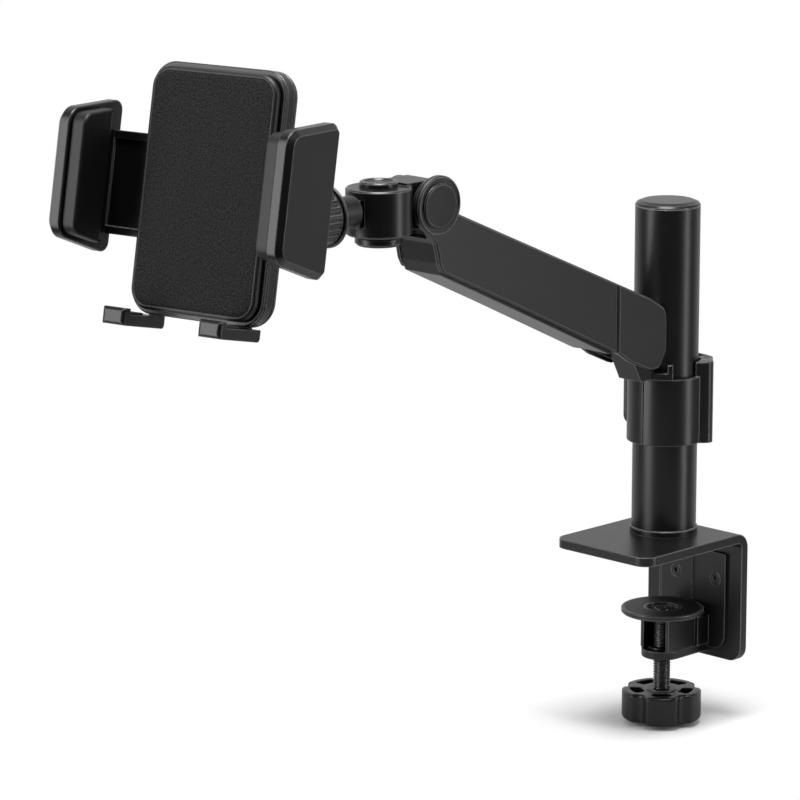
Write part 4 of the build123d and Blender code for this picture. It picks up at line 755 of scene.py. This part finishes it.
class PHONEHOLDER_OT_cushion(bpy.types.Operator):
    """Face cushion of the cradle: cloth front inside a smooth rounded border.

    The outline is a rounded rectangle; the edge is an undercut foot, a quarter round and a shallow crease,
    and the front rises as a dome of the cushion's crown toward its middle.
    """
    bl_idname = "phoneholder.cushion"
    bl_label = "Face cushion"

    def execute(self, context):
        s = context.scene.ph_cushion
        w, h, r = s.width / 2, s.height / 2, s.corner
        outline, normals = rounded_outline([(w, -h), (w, h), (-w, h), (-w, -h)], [r] * 4, 17)
        outline, normals = fill_outline(outline, normals, OUTLINE_STEP)
        foot = 0.001        # undercut at the back
        step = 0.0002
        crease = 0.00018    # depth of the crease round the cloth
        wall = -s.thickness + foot
        profile = [(foot, -s.thickness), (foot, wall - step), (0.0, wall), (0.0, -s.border)]
        profile += quarter(s.border, 0.0, 0.0, 9)[1:]
        inner = len(profile)
        profile += [(s.border + step, -crease), (s.border + 2 * step, -crease), (s.border + 4 * step, 0.0)]
        flat, level = pillow(outline, normals, profile, np.zeros(2), s.crown)
        points = in_cradle(flat[..., 0], flat[..., 1], level)
        piece = make_piece("face_cushion", points, uv=flat)
        piece.data.materials.append(slot_material("soft_pad"))
        piece.data.materials.append(finish_material(*CUSHION_BORDER))
        columns = len(outline)
        rows = np.arange(len(piece.data.polygons)) // columns
        back = len(flat) - 1
        border = np.where((rows < inner) | (rows == back), 1, 0).astype(np.int32)
        piece.data.polygons.foreach_set("material_index", border)
        place(piece, BODY_OF["face_pad"], "face_pad")
        return {"FINISHED"}


class PHONEHOLDER_OT_jaw_pads(bpy.types.Operator):
    """Moulded soft blocks on the inner faces of both jaws.

    Each is an outline in height and depth with rounded front corners, carried across the cradle: a plain
    wall, a quarter round at the face and a very slight hollow.
    """
    bl_idname = "phoneholder.jaw_pads"
    bl_label = "Jaw pads"

    SEAM = 0.0004           # points this near the back give the pad's height
    BACK_CORNER = 0.0006
    FRONT_CORNER = 0.0068

    def execute(self, context):
        s = context.scene.ph_pads
        for side, node in ((-1, "jaw_left_pad"), (1, "jaw_right_pad")):
            mesh = frame["nodes"][node].data
            co = np.zeros(len(mesh.vertices) * 3)
            mesh.vertices.foreach_get("co", co)
            local = co.reshape(-1, 3) - PAD_CENTRE
            y, z = local @ UP, local @ NORMAL
            back, front = z.min(), z.max()
            rear = z < back + self.SEAM
            y0, y1 = y[rear].min(), y[rear].max()
            slope = s.lean * (front - back)
            corners = [(y0, back), (y1, back), (y1 - slope, front), (y0 + slope, front)]
            radii = [self.BACK_CORNER] * 2 + [self.FRONT_CORNER] * 2
            outline, normals = rounded_outline(corners, radii, 13)
            outline, normals = fill_outline(outline, normals, OUTLINE_STEP)
            profile = [(0.0, 0.0), (0.0, s.thickness - s.edge)] + quarter(s.edge, 0.0, s.thickness)[1:]
            centre = outline.mean(0)
            flat, level = pillow(outline, normals, profile, centre, -s.crown)
            points = in_cradle(side * (s.join - level), flat[..., 0], flat[..., 1])
            piece = make_piece(node + "_moulded", points)
            piece.data.materials.append(slot_material("rubber_black"))
            place(piece, BODY_OF[node], node)
        return {"FINISHED"}


class PHONEHOLDER_OT_foot_pads(bpy.types.Operator):
    """Thin rubber pads on top of both feet, with fine cross ribs.

    A rounded rectangle whose top is raised and lowered by a cosine along its depth.
    """
    bl_idname = "phoneholder.foot_pads"
    bl_label = "Foot pads"

    CORNER = 0.001
    EDGE = 0.0004
    RIB_PITCH = 0.0012
    RIB_DEPTH = 0.0002      # half the depth of the grooves
    POINT_STEP = 0.0004     # between points along the outline
    TOP = 0.0001            # points this near the top are ribbed

    def execute(self, context):
        mesh = frame["nodes"]["foot_pads"].data
        co = np.zeros(len(mesh.vertices) * 3)
        mesh.vertices.foreach_get("co", co)
        local = co.reshape(-1, 3) - PAD_CENTRE
        x, y, z = local @ RIGHT, local @ UP, local @ NORMAL
        middle = (x.min() + x.max()) / 2
        pieces = []
        for side in (x < middle, x >= middle):
            x0, x1, z0, z1 = x[side].min(), x[side].max(), z.min(), z.max()
            low, high = y.min(), y.max()
            corners = [(x0, z0), (x1, z0), (x1, z1), (x0, z1)]
            outline, normals = rounded_outline(corners, [self.CORNER] * 4, 7)
            outline, normals = fill_outline(outline, normals, self.POINT_STEP)
            profile = [(0.0, low), (0.0, high - self.EDGE)] + quarter(self.EDGE, 0.0, high, 4)[1:]
            centre = np.array([(x0 + x1) / 2, (z0 + z1) / 2])
            flat, level = pillow(outline, normals, profile, centre, 0.0)
            ribs = self.RIB_DEPTH * (np.cos((flat[..., 1] - z0) / self.RIB_PITCH * 2 * np.pi) - 1)
            level = level + np.where(level > high - self.TOP, ribs, 0.0)
            points = in_cradle(flat[..., 0], level, flat[..., 1])
            piece = make_piece("foot_pad_%d" % len(pieces), points)
            piece.data.materials.append(slot_material("rubber_black"))
            place(piece, BODY_OF["foot_pads"], "foot_pads")
            pieces.append(piece)
        return {"FINISHED"}


OPERATORS = [PHONEHOLDER_OT_stage, PHONEHOLDER_OT_finishes, PHONEHOLDER_OT_clamp_screw,
             PHONEHOLDER_OT_cushion, PHONEHOLDER_OT_jaw_pads, PHONEHOLDER_OT_foot_pads]


class PHONEHOLDER_PT_panel(bpy.types.Panel):
    """Lists the steps in the sidebar"""
    bl_idname = "PHONEHOLDER_PT_panel"
    bl_label = "Phone holder"
    bl_space_type = "VIEW_3D"
    bl_region_type = "UI"
    bl_category = "Phone holder"

    def draw(self, context):
        for operator in OPERATORS:
            self.layout.operator(operator.bl_idname)


def register():
    for name, group in SETTINGS.items():
        bpy.utils.register_class(group)
        setattr(bpy.types.Scene, name, bpy.props.PointerProperty(type=group))
    for cls in OPERATORS + [PHONEHOLDER_PT_panel]:
        bpy.utils.register_class(cls)


def unregister():
    for cls in reversed(OPERATORS + [PHONEHOLDER_PT_panel]):
        bpy.utils.unregister_class(cls)
    for name, group in SETTINGS.items():
        delattr(bpy.types.Scene, name)
        bpy.utils.unregister_class(group)


def main():
    register()
    bpy.ops.phoneholder.stage()
    bpy.ops.phoneholder.finishes()
    bpy.ops.phoneholder.clamp_screw()
    bpy.ops.phoneholder.cushion()
    bpy.ops.phoneholder.jaw_pads()
    bpy.ops.phoneholder.foot_pads()
    bpy.context.view_layer.update()


if __name__ == "__main__":
    main()
